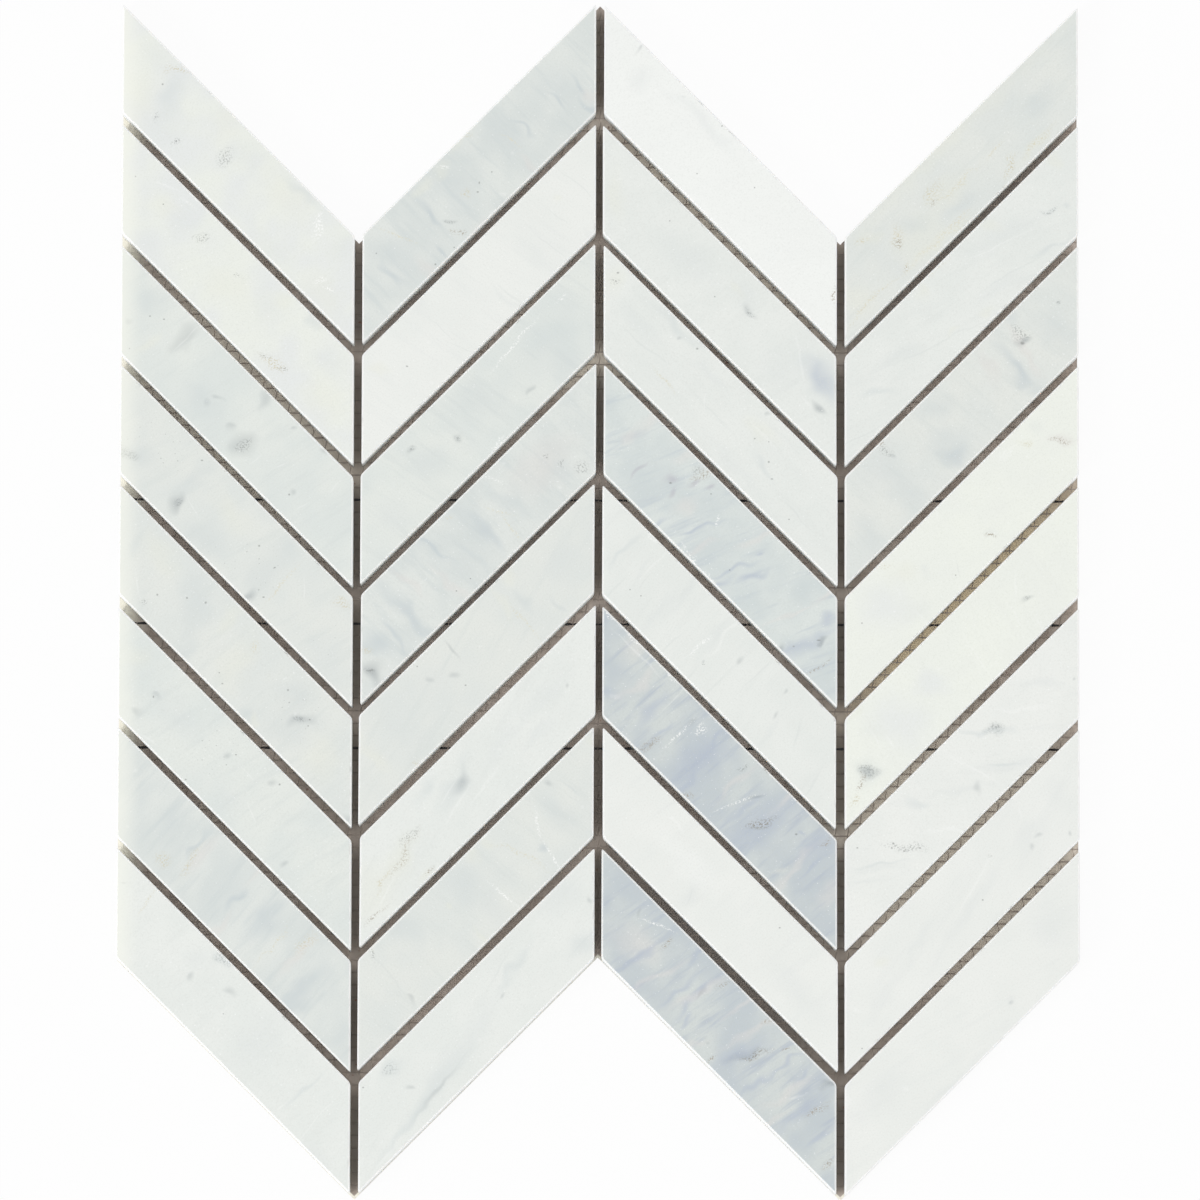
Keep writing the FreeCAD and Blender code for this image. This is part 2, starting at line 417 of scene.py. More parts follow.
def warp_end(name, side):
    """One of the two ends of every warp pair: side is 1 or -1, where it starts round the twist."""
    unselect_all()
    bpy.ops.mesh.primitive_circle_add(vertices=4, radius=0.5, rotation=(math.pi / 2, 0, 0))
    end = bpy.context.object
    end.name = name
    bpy.ops.object.transform_apply(location=True, rotation=True, scale=True)
    edit(end)
    bpy.ops.transform.resize(value=(WARP_WIDTH, 1, WARP_THICKNESS))
    bpy.ops.transform.translate(value=(-side * WARP_TWIST_ACROSS - CELLS_ACROSS / 2 * MESH_PITCH,
                                       -CELLS_ALONG / 2 * MESH_PITCH,
                                       side * WARP_TWIST_UP + MIDDLE_OF_BACKING))
    # Four half-cell steps take it once round its partner: over, across, under and back
    for across, up in ((2, 0), (0, -2), (-2, 0), (0, 2)):
        bpy.ops.mesh.extrude_region_move(TRANSFORM_OT_translate={"value": (
            side * across * WARP_TWIST_ACROSS, MESH_PITCH / 2, side * up * WARP_TWIST_UP)})
    leave_edit()
    in_rows(end, ((CELLS_ALONG // 2 + 1, (0, 2 * MESH_PITCH, 0)),
                  (CELLS_ACROSS + 1, (MESH_PITCH, 0, 0))))
    return cut_to_zigzag(end)


glass, tree, shader, place = new_finish("glass_fibre")
on_stone, seam_shade, lit_ends_and_low_rim = where_it_lies(tree, place)
along = mapped(tree, place, size=(1, 12, 12))
fibre = noise(tree, along, 900, detail=2.0)
wet = noise(tree, place, 120, detail=3.0)
colour = laid_over(tree, on_screen(160, 147, 137), on_screen(180, 166, 156), fibre)
colour = laid_over(tree, colour, on_screen(194, 180, 169), between(tree, wet, 0.4, 0.65, 0, 0.85))
colour = laid_over(tree, colour, on_screen(236, 233, 226), arithmetic(tree, "MULTIPLY", on_stone, 0.7))
# Painted shade along the seams between columns
colour = laid_over(tree, colour, on_screen(118, 108, 99), arithmetic(tree, "MULTIPLY", seam_shade, 0.9))
# Painted light at the open left ends, and a pale rim along the lower edge
colour = laid_over(tree, colour, on_screen(246, 242, 230), lit_ends_and_low_rim)
tree.links.new(colour, shader.inputs["Base Color"])
shader.inputs["Roughness"].default_value = 0.45
bumped(tree, shader, fibre, 0.02 * MM)

black_glass, tree, shader, place = new_finish("black_tracer")
fibre = noise(tree, mapped(tree, place, size=(1, 12, 12)), 900, detail=2.0)
colour = laid_over(tree, on_screen(14, 9, 12), on_screen(40, 32, 34), fibre)
tree.links.new(colour, shader.inputs["Base Color"])
shader.inputs["Roughness"].default_value = 0.45
bumped(tree, shader, fibre, 0.05 * MM)

warp_over = warp_end("mesh_warp_over", 1)
warp_under = warp_end("mesh_warp_under", -1)
for strand, finish in ((weft, glass), (tracer, black_glass), (warp_over, glass), (warp_under, glass)):
    strand.data.materials.clear()
    strand.data.materials.append(finish)
    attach(strand, "root")
    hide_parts("mesh_backing")


# The marble strips. A slab is sawn to 9.5 mm, ripped into 25 mm strips and cut off at 45 degrees.
# The face is honed, its arrises are rubbed round by hand, and the wheel leaves a nick here and
# there. The sides and back keep the saw's finish. They are set by hand, so no two lie quite alike.
STRIP_SIDE = STRIP_WIDTH * math.sqrt(2)
STONE = 9.5 * MM
ARRIS = 0.4 * MM
# How far from a tip the grinding starts, so that sharp and blunt corners get the same radius
SHARP_TIP_GROUND = 0.75 * MM
BLUNT_TIP_GROUND = 0.15 * MM
CUTS_LONG = 90
CUTS_SHORT = 29
# How far round a sharp tip the bevelled arris comes together, and how far in the flat face starts
TIP_GATHERED = 1.8 * MM
FACE_MARGIN = 0.25 * MM


def strip_blank(slope):
    """A strip about its own middle with its back at height 0: slope is 1 if it rises to the right."""
    unselect_all()
    bpy.ops.mesh.primitive_cube_add(size=1)
    blank = bpy.context.object
    edit(blank)
    bpy.ops.transform.resize(value=(STRIP_RUN, STRIP_SIDE, STONE))
    bpy.ops.transform.translate(value=(0, 0, STONE / 2))
    pick("faces", lambda face: face.normal.x > 0.9)
    bpy.ops.transform.translate(value=(0, slope * STRIP_RUN / 2, 0))
    pick("faces", lambda face: face.normal.x < -0.9)
    bpy.ops.transform.translate(value=(0, -slope * STRIP_RUN / 2, 0))
    for sharp, ground in ((1, SHARP_TIP_GROUND), (-1, BLUNT_TIP_GROUND)):
        pick("edges", lambda edge: abs(edge.verts[0].co.z - edge.verts[1].co.z) > STONE / 2
             and sharp * slope * edge.verts[0].co.x * edge.verts[0].co.y > 0
             and abs(edge.verts[0].co.x) > STRIP_RUN / 2 - 0.01 * MM)
        bpy.ops.mesh.bevel(offset=ground, segments=2, affect="EDGES")
    # The walls are cut up finely enough for nicks, then the face and back are filled in again
    pick("faces", lambda face: abs(face.normal.z) > 0.9)
    bpy.ops.mesh.delete(type="ONLY_FACE")
    pick("edges", lambda edge: edge.calc_length() > STRIP_RUN)
    bpy.ops.mesh.subdivide(number_cuts=CUTS_LONG)
    pick("edges", lambda edge: STRIP_SIDE / 2 < edge.calc_length() < STRIP_RUN)
    bpy.ops.mesh.subdivide(number_cuts=CUTS_SHORT)
    pick("edges", lambda edge: all(vert.co.z < STONE / 2 for vert in edge.verts))
    bpy.ops.mesh.edge_face_add()
    pick("edges", lambda edge: all(vert.co.z > STONE / 2 for vert in edge.verts))
    bpy.ops.mesh.edge_face_add()
    bpy.ops.mesh.bevel(offset=ARRIS, segments=3, affect="EDGES")
    # The arris runs out to one point at each sharp tip
    for end in (-1, 1):
        tip = Vector((end * STRIP_RUN / 2, end * slope * (STRIP_RUN + STRIP_SIDE) / 2, STONE))
        pick("verts", lambda vert: vert.co.z > STONE - 0.001 * MM and (vert.co - tip).length < TIP_GATHERED)
        bpy.ops.mesh.merge(type="CENTER")
    bpy.ops.mesh.select_all(action="SELECT")
    bpy.ops.mesh.normals_make_consistent(inside=False)
    pick("faces", lambda face: len(face.verts) > 8 and face.normal.z > 0.9)
    bpy.ops.mesh.inset(thickness=FACE_MARGIN)
    # The arris group: all that the rubbing block touched, up to where the flat face begins
    pick("verts", lambda vert: vert.co.z > STONE - 0.9 * ARRIS
         and all(len(face.verts) < 8 for face in vert.link_faces))
    bpy.ops.object.vertex_group_add()
    bpy.ops.object.vertex_group_assign()
    leave_edit()
    blank.vertex_groups[0].name = "arris"
    return blank


nick_pattern = bpy.data.textures.new("nicks", "CLOUDS")
nick_pattern.noise_scale = 1.6 * MM
nick_pattern.noise_depth = 1
nick_pattern.use_color_ramp = True
nick_pattern.color_ramp.elements[0].position = 0.70
nick_pattern.color_ramp.elements[1].position = 0.86


def set_strip(blank, node, slope):
    """Copy a blank to where its node lies: the same middle, and turned by the same hair."""
    low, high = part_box(node)
    corners = [vertex.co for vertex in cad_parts[node].data.vertices]
    right_tip = max(corners, key=lambda corner: corner.x + slope * corner.y)
    left_tip = min(corners, key=lambda corner: corner.x + slope * corner.y)
    lies_at = math.atan2(right_tip.y - left_tip.y, right_tip.x - left_tip.x)
    drawn_at = math.atan2(slope * (STRIP_RUN + STRIP_SIDE), STRIP_RUN)
    unselect_all()
    blank.select_set(True)
    bpy.context.view_layer.objects.active = blank
    bpy.ops.object.duplicate()
    strip = bpy.context.object
    strip.name = node.replace("chip", "strip")
    strip.data.name = strip.name
    strip.location = ((low.x + high.x) / 2, (low.y + high.y) / 2, low.z)
    strip.rotation_euler = (0, 0, lies_at - drawn_at)
    bpy.ops.object.transform_apply(location=True, rotation=True, scale=True)
    nicks = strip.modifiers.new("nicks", "DISPLACE")
    nicks.texture = nick_pattern
    nicks.texture_coords = "LOCAL"
    nicks.vertex_group = "arris"
    nicks.mid_level = 0
    nicks.strength = -0.45 * MM
    bpy.ops.object.modifier_apply(modifier=nicks.name)
    bpy.ops.object.shade_smooth_by_angle(angle=math.radians(40))
    # What the shader needs to know: where the stone was rubbed, and which faces are sawn
    rubbed = strip.data.attributes.new("rubbed", "FLOAT", "POINT")
    arris_low = high.z - 1.1 * ARRIS
    flat = {index for face in strip.data.polygons if len(face.vertices) > 8 for index in face.vertices}
    for vertex, value in zip(strip.data.vertices, rubbed.data):
        value.value = 1 if arris_low < vertex.co.z and vertex.index not in flat else 0
    sawn = strip.data.attributes.new("sawn", "FLOAT", "FACE")
    for face, value in zip(strip.data.polygons, sawn.data):
        value.value = 1 if face.normal.z < 0.1 and face.center.z < arris_low else 0
        face.use_smooth = len(face.vertices) <= 8
    return strip


# Kinds of stone in the batch: the body colour, the cloud that drifts through it, its streaks, and
# how thick the cloud and the streaks are.
STONES = {
    "clear": ((242, 244, 241), (240, 242, 239), (237, 239, 237), 0.6, 0.3),
    "white": ((236, 238, 234), (231, 234, 230), (226, 229, 227), 0.6, 0.3),
    "warm": ((234, 237, 230), (229, 232, 231), (226, 229, 228), 0.9, 0.2),
    "plain": ((232, 235, 231), (227, 231, 227), (221, 225, 222), 0.7, 0.3),
    "soft": ((227, 230, 225), (220, 225, 222), (213, 219, 216), 0.7, 0.4),
    "cool": ((227, 231, 226), (219, 225, 222), (211, 217, 215), 0.8, 0.4),
    "grey": ((224, 228, 224), (213, 219, 217), (203, 211, 211), 0.8, 0.5),
    "slate": ((219, 225, 222), (206, 214, 214), (193, 202, 208), 0.9, 0.7),
    "steel": ((209, 215, 213), (194, 202, 206), (180, 189, 200), 1.0, 0.8),
    "cream": ((238, 241, 233), (234, 237, 231), (230, 232, 227), 0.6, 0.2),
}

# The stone that each column's strips were cut from, from the top down, and the lie of its streaks
STRIPS = {
    1: (("warm", 40), ("warm", 20), ("cool", 35), ("soft", 30),
        ("soft", 40), ("cool", 35), ("grey", 50), ("plain", 40)),
    2: (("grey", -45), ("white", -35), ("cool", -35), ("grey", -42),
        ("soft", 60), ("plain", 60), ("soft", -40), ("plain", 55)),
    3: (("clear", 20), ("plain", 30), ("plain", -45), ("slate", 22),
        ("plain", 50), ("steel", 40), ("white", 40), ("steel", 35)),
    4: (("soft", 45), ("plain", 27), ("soft", -40), ("cream", 30),
        ("cream", -60), ("white", 5), ("white", 55), ("white", 30)),
}

# What lies in the marble: its colour, how thickly it covers, how far out its full strength goes,
# and whether it is whole, broken into grains or peppered in single grains.
MARKS = {
    "haze": ((214, 219, 219), 0.22, 0.0, "whole"),
    "cloud": ((203, 211, 212), 0.36, 0.0, "whole"),
    "grey": ((229, 232, 231), 0.7, 0.1, "whole"),
    "dark": ((165, 172, 173), 0.38, 0.0, "whole"),
    "heart": ((142, 150, 154), 0.55, 0.0, "whole"),
    "teal": ((186, 197, 203), 0.46, 0.0, "whole"),
    "blue": ((176, 186, 202), 0.54, 0.0, "whole"),
    "purple": ((176, 170, 182), 0.4, 0.1, "whole"),
    "pink": ((224, 220, 216), 0.4, 0.1, "whole"),
    "cream": ((232, 233, 219), 0.32, 0.1, "whole"),
    "line": ((206, 212, 210), 0.24, 0.1, "whole"),
    "white": ((250, 251, 249), 0.22, 0.2, "whole"),
    "vein": ((220, 216, 196), 0.8, 0.1, "broken"),
    "gold": ((208, 200, 172), 0.8, 0.0, "broken"),
    "brown": ((160, 148, 130), 0.8, 0.0, "broken"),
    "flecks": ((251, 252, 250), 0.85, 0.3, "broken"),
    "specks": ((120, 124, 122), 0.5, 0.2, "broken"),
    "dot": ((112, 114, 112), 0.6, 0.2, "whole"),
    "dots": ((130, 132, 130), 0.4, 0.3, "peppered"),
}

# Where they lie in each strip of a column and row: the mark, how far it is to the right of the
# strip's middle and above it, how long and wide it is in millimetres, and how its length is turned.
SEEN_IN = {
    (1, 1): (
        ("cloud", -21.5, 25.5, 19, 9.5, 75), ("haze", -26.5, 38, 14, 9, -45),
        ("cloud", 20, -5, 19, 4.5, -45), ("specks", -20, 10.5, 4, 3, 20), ("dot", -20, 10.5, 0.8, 0.8, 0),
        ("specks", -26.5, 17.5, 3.5, 2.5, 10), ("specks", -5, 4.5, 9, 5, 60),
        ("gold", -20, 33.5, 8.5, 2.5, 10), ("dot", -24.5, 29, 0.8, 0.8, 0),
        ("cream", -31.5, 23.5, 22.5, 13, 70), ("cream", -2.5, 18, 22.5, 13, 60),
        ("cream", 15, -6.5, 22.5, 13, -45), ("cream", 28, -40, 22.5, 13, -60), ("haze", 3, 4.5, 19, 14, 0),
        ("haze", -23.5, 15.5, 16, 13, 0), ("flecks", 26, -17, 11, 2.5, 75),
        ("flecks", 26.5, -35, 4.5, 3, 0), ("flecks", 29.5, -37.5, 5, 1, -20),
        ("haze", 34, -24, 13, 9.5, 80), ("haze", 10, -24, 22.5, 11.5, -45),
    ),
    (1, 2): (
        ("haze", -16.5, 23.5, 18, 11.5, 20), ("haze", -31.5, 16.5, 13, 13, 0),
        ("white", -23.5, 35, 11.5, 1, -20), ("white", -15.5, 29, 7.5, 1, -40),
        ("cream", -23.5, 29, 16, 7.5, -20), ("dot", -33, 38, 0.6, 0.6, 0), ("dot", -24, 29, 0.6, 0.6, 0),
        ("specks", 0.5, 4, 2, 2, 0), ("specks", -11, 19, 3, 4, 70), ("gold", 11.5, -22.5, 12, 5, -25),
        ("specks", 9, -20.5, 4, 2, 0), ("specks", 15, -24, 4, 2, 0), ("cloud", 24.5, -9, 8.5, 6.5, 0),
        ("haze", 10, -4.5, 16, 16, 0), ("cream", 16.5, -3, 9.5, 6.5, 0), ("cream", -4, 2, 19, 13, -30),
        ("cream", 28, -33, 16, 16, 0), ("haze", 29.5, -22, 13, 9.5, 0),
    ),
    (1, 3): (
        ("dot", -28, 32, 0.8, 0.6, 0), ("dot", -23.5, 31, 0.8, 0.6, 0), ("dot", -34.5, 21.5, 0.6, 0.6, 0),
        ("cloud", -28, 37.5, 16, 11, -20), ("dark", -16.5, 25.5, 14, 6.5, 45),
        ("white", -17.5, 23.5, 8.5, 0.6, 45), ("white", -14.5, 27, 7, 0.6, 45), ("dark", -9, 4, 3, 3, 80),
        ("dark", -5.5, 5.5, 2, 4, 70), ("dark", 1.5, -9.5, 11, 8.5, 20), ("specks", 2.5, -10, 4.5, 3, 30),
        ("dark", -1.5, -4.5, 4, 3, 0), ("dark", 9.5, 5, 9.5, 4, 65), ("dark", 17, -25.5, 4.5, 3, 80),
        ("dot", 17, -25.5, 0.8, 0.8, 0), ("dark", 19, -4, 3, 2, 0), ("dark", 28, -12, 2.5, 3, 70),
        ("white", 6.5, -14, 5.5, 0.6, 40), ("white", 31.5, -23, 5.5, 0.6, 45),
        ("white", 21, -29.5, 4.5, 0.6, 40), ("white", 14.5, -15.5, 4.5, 0.6, 20),
        ("cream", -28, 23.5, 13, 4, 45), ("cloud", -12, 5.5, 25.5, 13, -45),
        ("dark", -35, 29.5, 2.5, 2.5, 0),
    ),
    (1, 4): (
        ("cloud", -32, 24, 16.5, 11, 0), ("dark", -35, 25, 5, 7, 80), ("specks", -35, 25, 5.5, 5.5, 0),
        ("dots", -23.5, 28.5, 32, 16, -30), ("heart", -18.5, 10, 8.5, 4.5, 45),
        ("cloud", -13.5, 17.5, 20.5, 6.5, 52), ("specks", -18, 10.5, 4, 2.5, 45),
        ("white", -13.5, 8.5, 10, 0.6, -65), ("heart", 4, -18.5, 7.5, 4, 30),
        ("cloud", 8.5, -13, 25.5, 14, 50), ("dot", 7.5, -3.5, 0.8, 0.8, 0),
        ("dot", 12.5, -10.5, 1, 0.6, 20), ("dot", 9, -20, 1, 0.6, 0), ("dots", 8.5, -13, 22.5, 16, 40),
        ("vein", 15, -16, 20, 1.3, 50), ("cloud", 16.5, -4, 13, 11, 0), ("gold", 34, -21.5, 7, 2, 10),
        ("cloud", -10.5, -1.5, 19, 13, -20), ("dots", -2.5, -6.5, 19, 13, 0),
        ("haze", 29.5, -38.5, 19, 19, -45), ("dot", -11, 24, 1, 0.6, 0), ("dots", 29.5, -35, 16, 16, 0),
        ("white", 22, -17.5, 9.5, 0.6, 85), ("cream", -1, 6.5, 19, 9.5, -45),
    ),
    (1, 5): (
        ("cloud", -32, 34.5, 11, 4, 60), ("white", -31.5, 23, 11, 0.6, -80),
        ("cloud", -13.5, 15, 28.5, 12, 75), ("cloud", -16, 1.5, 9.5, 6.5, 40),
        ("dot", -25, 19.5, 0.8, 0.8, 0), ("dot", -15.5, 18.5, 0.8, 0.8, 0), ("dot", -9.5, 17, 1, 0.8, 60),
        ("specks", -29.5, 16, 3, 2, 0), ("cream", 0.5, -3.5, 22.5, 13, 60),
        ("cream", -23.5, 32.5, 19, 9.5, -45), ("cream", -2, 11.5, 13, 6.5, 60),
        ("heart", 21, -21, 8.5, 4.5, 10), ("cloud", 17, -23, 22.5, 14, 20),
        ("cloud", 20.5, -12.5, 14, 16, 90), ("dot", 17, -11, 0.8, 0.8, 0), ("specks", 21, -21, 5, 3, 0),
        ("dot", 24, -20.5, 0.8, 0.6, 0), ("dot", 23.5, -22.5, 0.6, 0.6, 0), ("white", 19.5, -19, 2, 1.3, 80),
        ("cloud", 3, -20, 5, 4.5, 0), ("cream", 5.5, -21, 4, 2.5, 80), ("cream", 28, -32, 19, 13, 80),
        ("dot", -5, -5.5, 0.6, 0.6, 0), ("dot", -4, -9, 0.8, 0.6, 0), ("dark", 36.5, -53, 4, 4, 0),
        ("dots", 20, -17, 19, 19, 0), ("vein", 6.5, 3, 4.5, 4.5, 0),
    ),
    (1, 6): (
        ("dark", -26, 26.5, 2.5, 4, 80), ("dot", -26, 26, 0.6, 1, 0), ("dark", -31, 21, 4, 4.5, 70),
        ("dot", -15.5, -0.5, 0.8, 0.6, 0), ("white", -27.5, 12.5, 8.5, 1, -35), ("dark", -1.5, 8.5, 4, 3, 0),
        ("dot", 0.5, 7.5, 0.8, 0.6, 0), ("white", 4, 2, 8.5, 0.6, -50), ("dark", 13.5, -2, 4, 3, 0),
        ("dot", 14.5, -2, 0.8, 0.8, 0), ("white", 5.5, -11, 11.5, 0.6, -65),
        ("haze", -18.5, 20, 25.5, 13, -45), ("haze", -4, -5.5, 22.5, 13, -45),
        ("dots", -5.5, 7.5, 25.5, 19, -40), ("cream", -31.5, 39.5, 13, 9.5, 0),
        ("dark", 16.5, -27, 2.5, 2.5, 0),
    ),
    (1, 7): (
        ("white", -31.5, 41.5, 2.5, 1.9, 20), ("white", -33.5, 23, 1.3, 1.3, 0),
        ("gold", -23, 12, 7, 5, 60), ("gold", -13.5, 12, 16, 3, 65), ("cloud", -21, 24.5, 19, 9.5, 50),
        ("cloud", -0.5, 2.5, 25.5, 18, 50), ("teal", 0.5, 0, 11, 3, 45), ("teal", 10, -6.5, 19, 11, 50),
        ("teal", 20.5, -30.5, 22.5, 8.5, 50), ("cloud", 26, -25.5, 28.5, 9.5, 50),
        ("vein", 12.5, -14.5, 20.5, 1.6, 50), ("gold", 22.5, -13.5, 13, 6.5, 50),
        ("pink", 20, -18, 22.5, 4.5, 50), ("cloud", -28, 33.5, 19, 7.5, 50), ("pink", -10.5, 14, 19, 5, 60),
        ("teal", -12, 17.5, 13, 2.5, 55), ("pink", -4, -8, 13, 3, 50), ("cloud", 34, -43, 16, 6.5, 60),
        ("pink", 8.5, 11, 19, 3, 48),
    ),
    (1, 8): (
        ("vein", -27.5, 37.5, 11.5, 1.3, 55), ("specks", -3, 19, 6.5, 3, -20),
        ("cloud", -3, 19, 8.5, 4.5, -20), ("dark", -13, 14.5, 3, 3, 0), ("dark", -1, 8.5, 3, 5, 80),
        ("haze", -12, 20, 13, 9.5, 0), ("cloud", 22.5, -22, 19, 1.9, 40),
        ("white", 14.5, -28, 9.5, 0.6, 35), ("white", 28, -30.5, 23.5, 0.6, 48),
        ("dot", -3, 2, 0.6, 0.6, 0), ("white", -3.5, 2, 1.3, 1.3, 0), ("white", -3, -3, 1, 1.6, 0),
        ("haze", 26, -45.5, 19, 13, -40), ("haze", 8.5, -6, 35, 16, 50), ("dark", -35, 43.5, 1.3, 2.5, 80),
    ),
    (2, 1): (
        ("cloud", 25, 28.5, 22.5, 14, -45), ("cloud", 7, 13, 21, 10, -40), ("cloud", -7, -6, 28.5, 14, -40),
        ("cloud", -26, -27, 19, 11, -50), ("teal", 32, 28.5, 14, 2.5, -48),
        ("teal", 25, 23.5, 13, 1.9, -45), ("teal", 36, 20, 13, 1.9, -50),
        ("teal", 13.5, 15.5, 11.5, 2, -40), ("teal", -15, -13.5, 14, 2.5, -50),
        ("cream", -5, 13, 18, 5, 45), ("gold", -2, 12, 5, 2, -10), ("cream", -12.5, 0.5, 9.5, 5, 45),
        ("cream", -18.5, -5.5, 8.5, 4, 45), ("gold", -3.5, -6.5, 4, 3, 80), ("dot", -0.5, -6, 1, 0.6, 0),
        ("white", 10.5, 6.5, 1.9, 1.9, 0), ("white", 8, -6.5, 3, 1.3, -10), ("white", 3, -12.5, 4, 1.9, 60),
        ("flecks", -11.5, 2, 5, 1.3, 0), ("dark", -9, -15, 5, 2.5, 0), ("specks", -9, -15, 4, 2, 0),
        ("brown", -6.5, -19, 4, 3, 0), ("dot", 0, -3, 1, 0.6, 80), ("dot", -8, -24, 0.6, 0.6, 0),
        ("dot", -14, -29.5, 0.8, 0.8, 0), ("dot", -33, -26, 0.6, 0.6, 0), ("dot", 4, 0.5, 0.6, 0.6, 0),
        ("vein", -26, -20.5, 17, 1.3, -20), ("vein", 10.5, 10.5, 9.5, 1, -25),
        ("pink", -17, -31, 13, 6.5, -50), ("teal", -12, -25, 7, 1.3, -50), ("pink", 1, -18, 9.5, 6.5, 45),
        ("pink", 36, 25, 8.5, 5, -50), ("teal", -28, -32.5, 13, 2.5, -50), ("pink", 17, 2.5, 13, 3, -45),
    ),
    (2, 2): (
        ("white", 24, 29.5, 3, 2, 0), ("white", 22.5, 27, 1.9, 1.6, 80), ("white", -15, -29, 1.6, 1.3, 0),
        ("white", -16.5, -15.5, 1.3, 1.3, 0), ("white", -21, -10.5, 1, 1, 0),
        ("line", 22.5, 16, 15.5, 0.6, -38), ("line", 31.5, 35.5, 19, 0.6, -40),
        ("line", 10.5, -0.5, 13.5, 1, -40), ("line", -12, -11.5, 13, 0.6, -40),
        ("haze", 9, -1.5, 14, 2.5, -45), ("haze", 36, 19, 8.5, 3, -45), ("cream", 24.5, 30.5, 4.5, 4.5, 0),
        ("cream", -32.5, -24.5, 8.5, 4, 0), ("dot", -23, -23.5, 1, 0.6, -20),
        ("haze", 20, 11, 25.5, 9.5, -40), ("line", -5.5, -17.5, 13, 0.6, -25),
        ("haze", -21.5, -1.5, 19, 6.5, -45), ("line", 24.5, 25.5, 13, 0.6, -35),
    ),
    (2, 3): (
        ("cloud", 21.5, 23, 35, 22.5, 45), ("cloud", 0, 4.5, 28.5, 17, 30),
        ("cloud", -15, -15.5, 19, 13, 0), ("flecks", 11.5, 22.5, 24.5, 1.3, 50),
        ("flecks", 26.5, 37.5, 5, 1.3, 50), ("specks", -6, -6.5, 3, 2, 0),
        ("specks", -21.5, -11.5, 4, 2, 80), ("dark", 16, 8, 4, 1.6, 80), ("white", -1, 8.5, 1, 1, 0),
        ("white", 8, -7.5, 2.5, 1, 40), ("dark", -6, -6.5, 4.5, 3, 0), ("dark", -21.5, -12, 5, 3, 80),
        ("haze", 28, 37.5, 13, 13, 0), ("cloud", 29.5, 15, 16, 13, 45), ("haze", -26.5, -33, 16, 13, -45),
        ("flecks", 38, 27.5, 22.5, 1.3, 90), ("flecks", 6, -8.5, 5, 1.9, 45),
    ),
    (2, 4): (
        ("pink", 20, 22, 28.5, 16, 45), ("specks", 33, 21, 4.5, 3, 0), ("specks", 27, 22.5, 2, 1.9, 0),
        ("specks", 34.5, 15.5, 2.5, 1.9, 0), ("specks", 21.5, 25, 3, 2.5, 0),
        ("cloud", -2.5, 2.5, 30.5, 9.5, -42), ("teal", 2.5, -1, 20, 5.5, -45),
        ("cloud", -15, -5.5, 27.5, 5, -40), ("teal", -15, -4.5, 16, 1.9, -40),
        ("cloud", -27.5, -19.5, 21, 7, -50), ("teal", -20, -28, 23, 5, -45),
        ("teal", -32, -35.5, 13, 9.5, -40), ("cloud", -2.5, -7, 22.5, 3, -45),
        ("pink", -23, -14.5, 18, 3, -45), ("pink", -8, -17, 22.5, 2.5, -45),
        ("heart", -33.5, -44.5, 11, 6.5, -45), ("specks", -34.5, -44, 4.5, 2.5, 0),
        ("dot", -34, -44, 1.6, 0.8, 0), ("gold", -36, -37, 5.5, 2.5, 0), ("white", 25.5, 16, 1.6, 1.6, 0),
        ("white", 8, 23, 1.6, 1.3, 0), ("flecks", 2.5, 18, 14, 1, -15), ("vein", 7, 7, 11, 1.3, -15),
        ("vein", -9.5, 5, 3, 1.3, 0), ("vein", 10.5, 1.5, 13, 1.3, -55), ("cloud", 26.5, 20.5, 9.5, 6.5, 0),
        ("cloud", 9, 10.5, 28.5, 4.5, -25), ("dot", -2.5, -14.5, 0.6, 0.6, 0),
        ("dot", -7, -18.5, 0.6, 0.6, 0),
        ("teal", -26.5, -32.5, 16, 2.5, -50),
    ),
    (2, 5): (
        ("cream", 9.5, 25.5, 9.5, 5.5, -60), ("vein", 15, 11, 21, 1.6, -52), ("cream", 8.5, 16, 13, 4, -60),
        ("cream", 36.5, 52, 5, 3, -50), ("cloud", 15.5, 17.5, 11.5, 4, -45),
        ("cloud", 26.5, 15.5, 8.5, 2, -45), ("dark", -7, -7, 4, 2, 0), ("dark", -15, -8.5, 1.6, 3, 0),
        ("dot", -3.5, -10, 0.8, 0.6, 0), ("cream", -32.5, -33.5, 16, 4.5, -40),
        ("gold", -20.5, -34, 3, 2.5, 0), ("cream", -37, -26, 6.5, 4.5, -60), ("white", 10.5, 1.5, 1, 1, 0),
        ("white", 1, 2.5, 1, 1, 0), ("haze", -15, -9.5, 32, 13, 45), ("haze", 26.5, 32, 19, 16, 45),
        ("dot", -19, -4, 0.6, 0.6, 0), ("dark", -8, 1.5, 8.5, 1.3, -50),
        ("haze", -24.5, -25.5, 19, 9.5, -40),
        ("flecks", 38, 32, 28.5, 1.3, 90),
    ),
    (2, 6): (
        ("heart", -5.5, -0.5, 9.5, 4, 60), ("cloud", -7, -3, 22.5, 7, 60), ("white", -6.5, -9, 17, 1, 60),
        ("white", -9.5, -5.5, 11.5, 0.6, 60), ("cloud", -16, -5.5, 14, 5.5, 60),
        ("brown", -24.5, -26, 20.5, 3, 58), ("specks", -22, -19.5, 6.5, 3, 40),
        ("cream", -32.5, -37.5, 32, 19, 55), ("gold", -31, -34, 11, 1.9, 60),
        ("cream", -17, -32, 8.5, 4.5, 60), ("brown", -32, -46, 13, 2, 50),
        ("brown", -16, -30, 5.5, 1.9, 60), ("haze", 9, 12, 28.5, 5.5, 55),
        ("white", 2.5, -2.5, 19, 1.3, 55), ("dark", 28.5, 29, 2, 1.3, 80), ("white", 7, 8, 1.6, 1.3, 0),
        ("haze", 21.5, 26, 25.5, 6.5, 45), ("cream", -24.5, -25, 19, 9.5, 60),
        ("white", -29, -37.5, 13, 1, 62), ("haze", 20, 13.5, 22.5, 4.5, 50),
    ),
    (2, 7): (
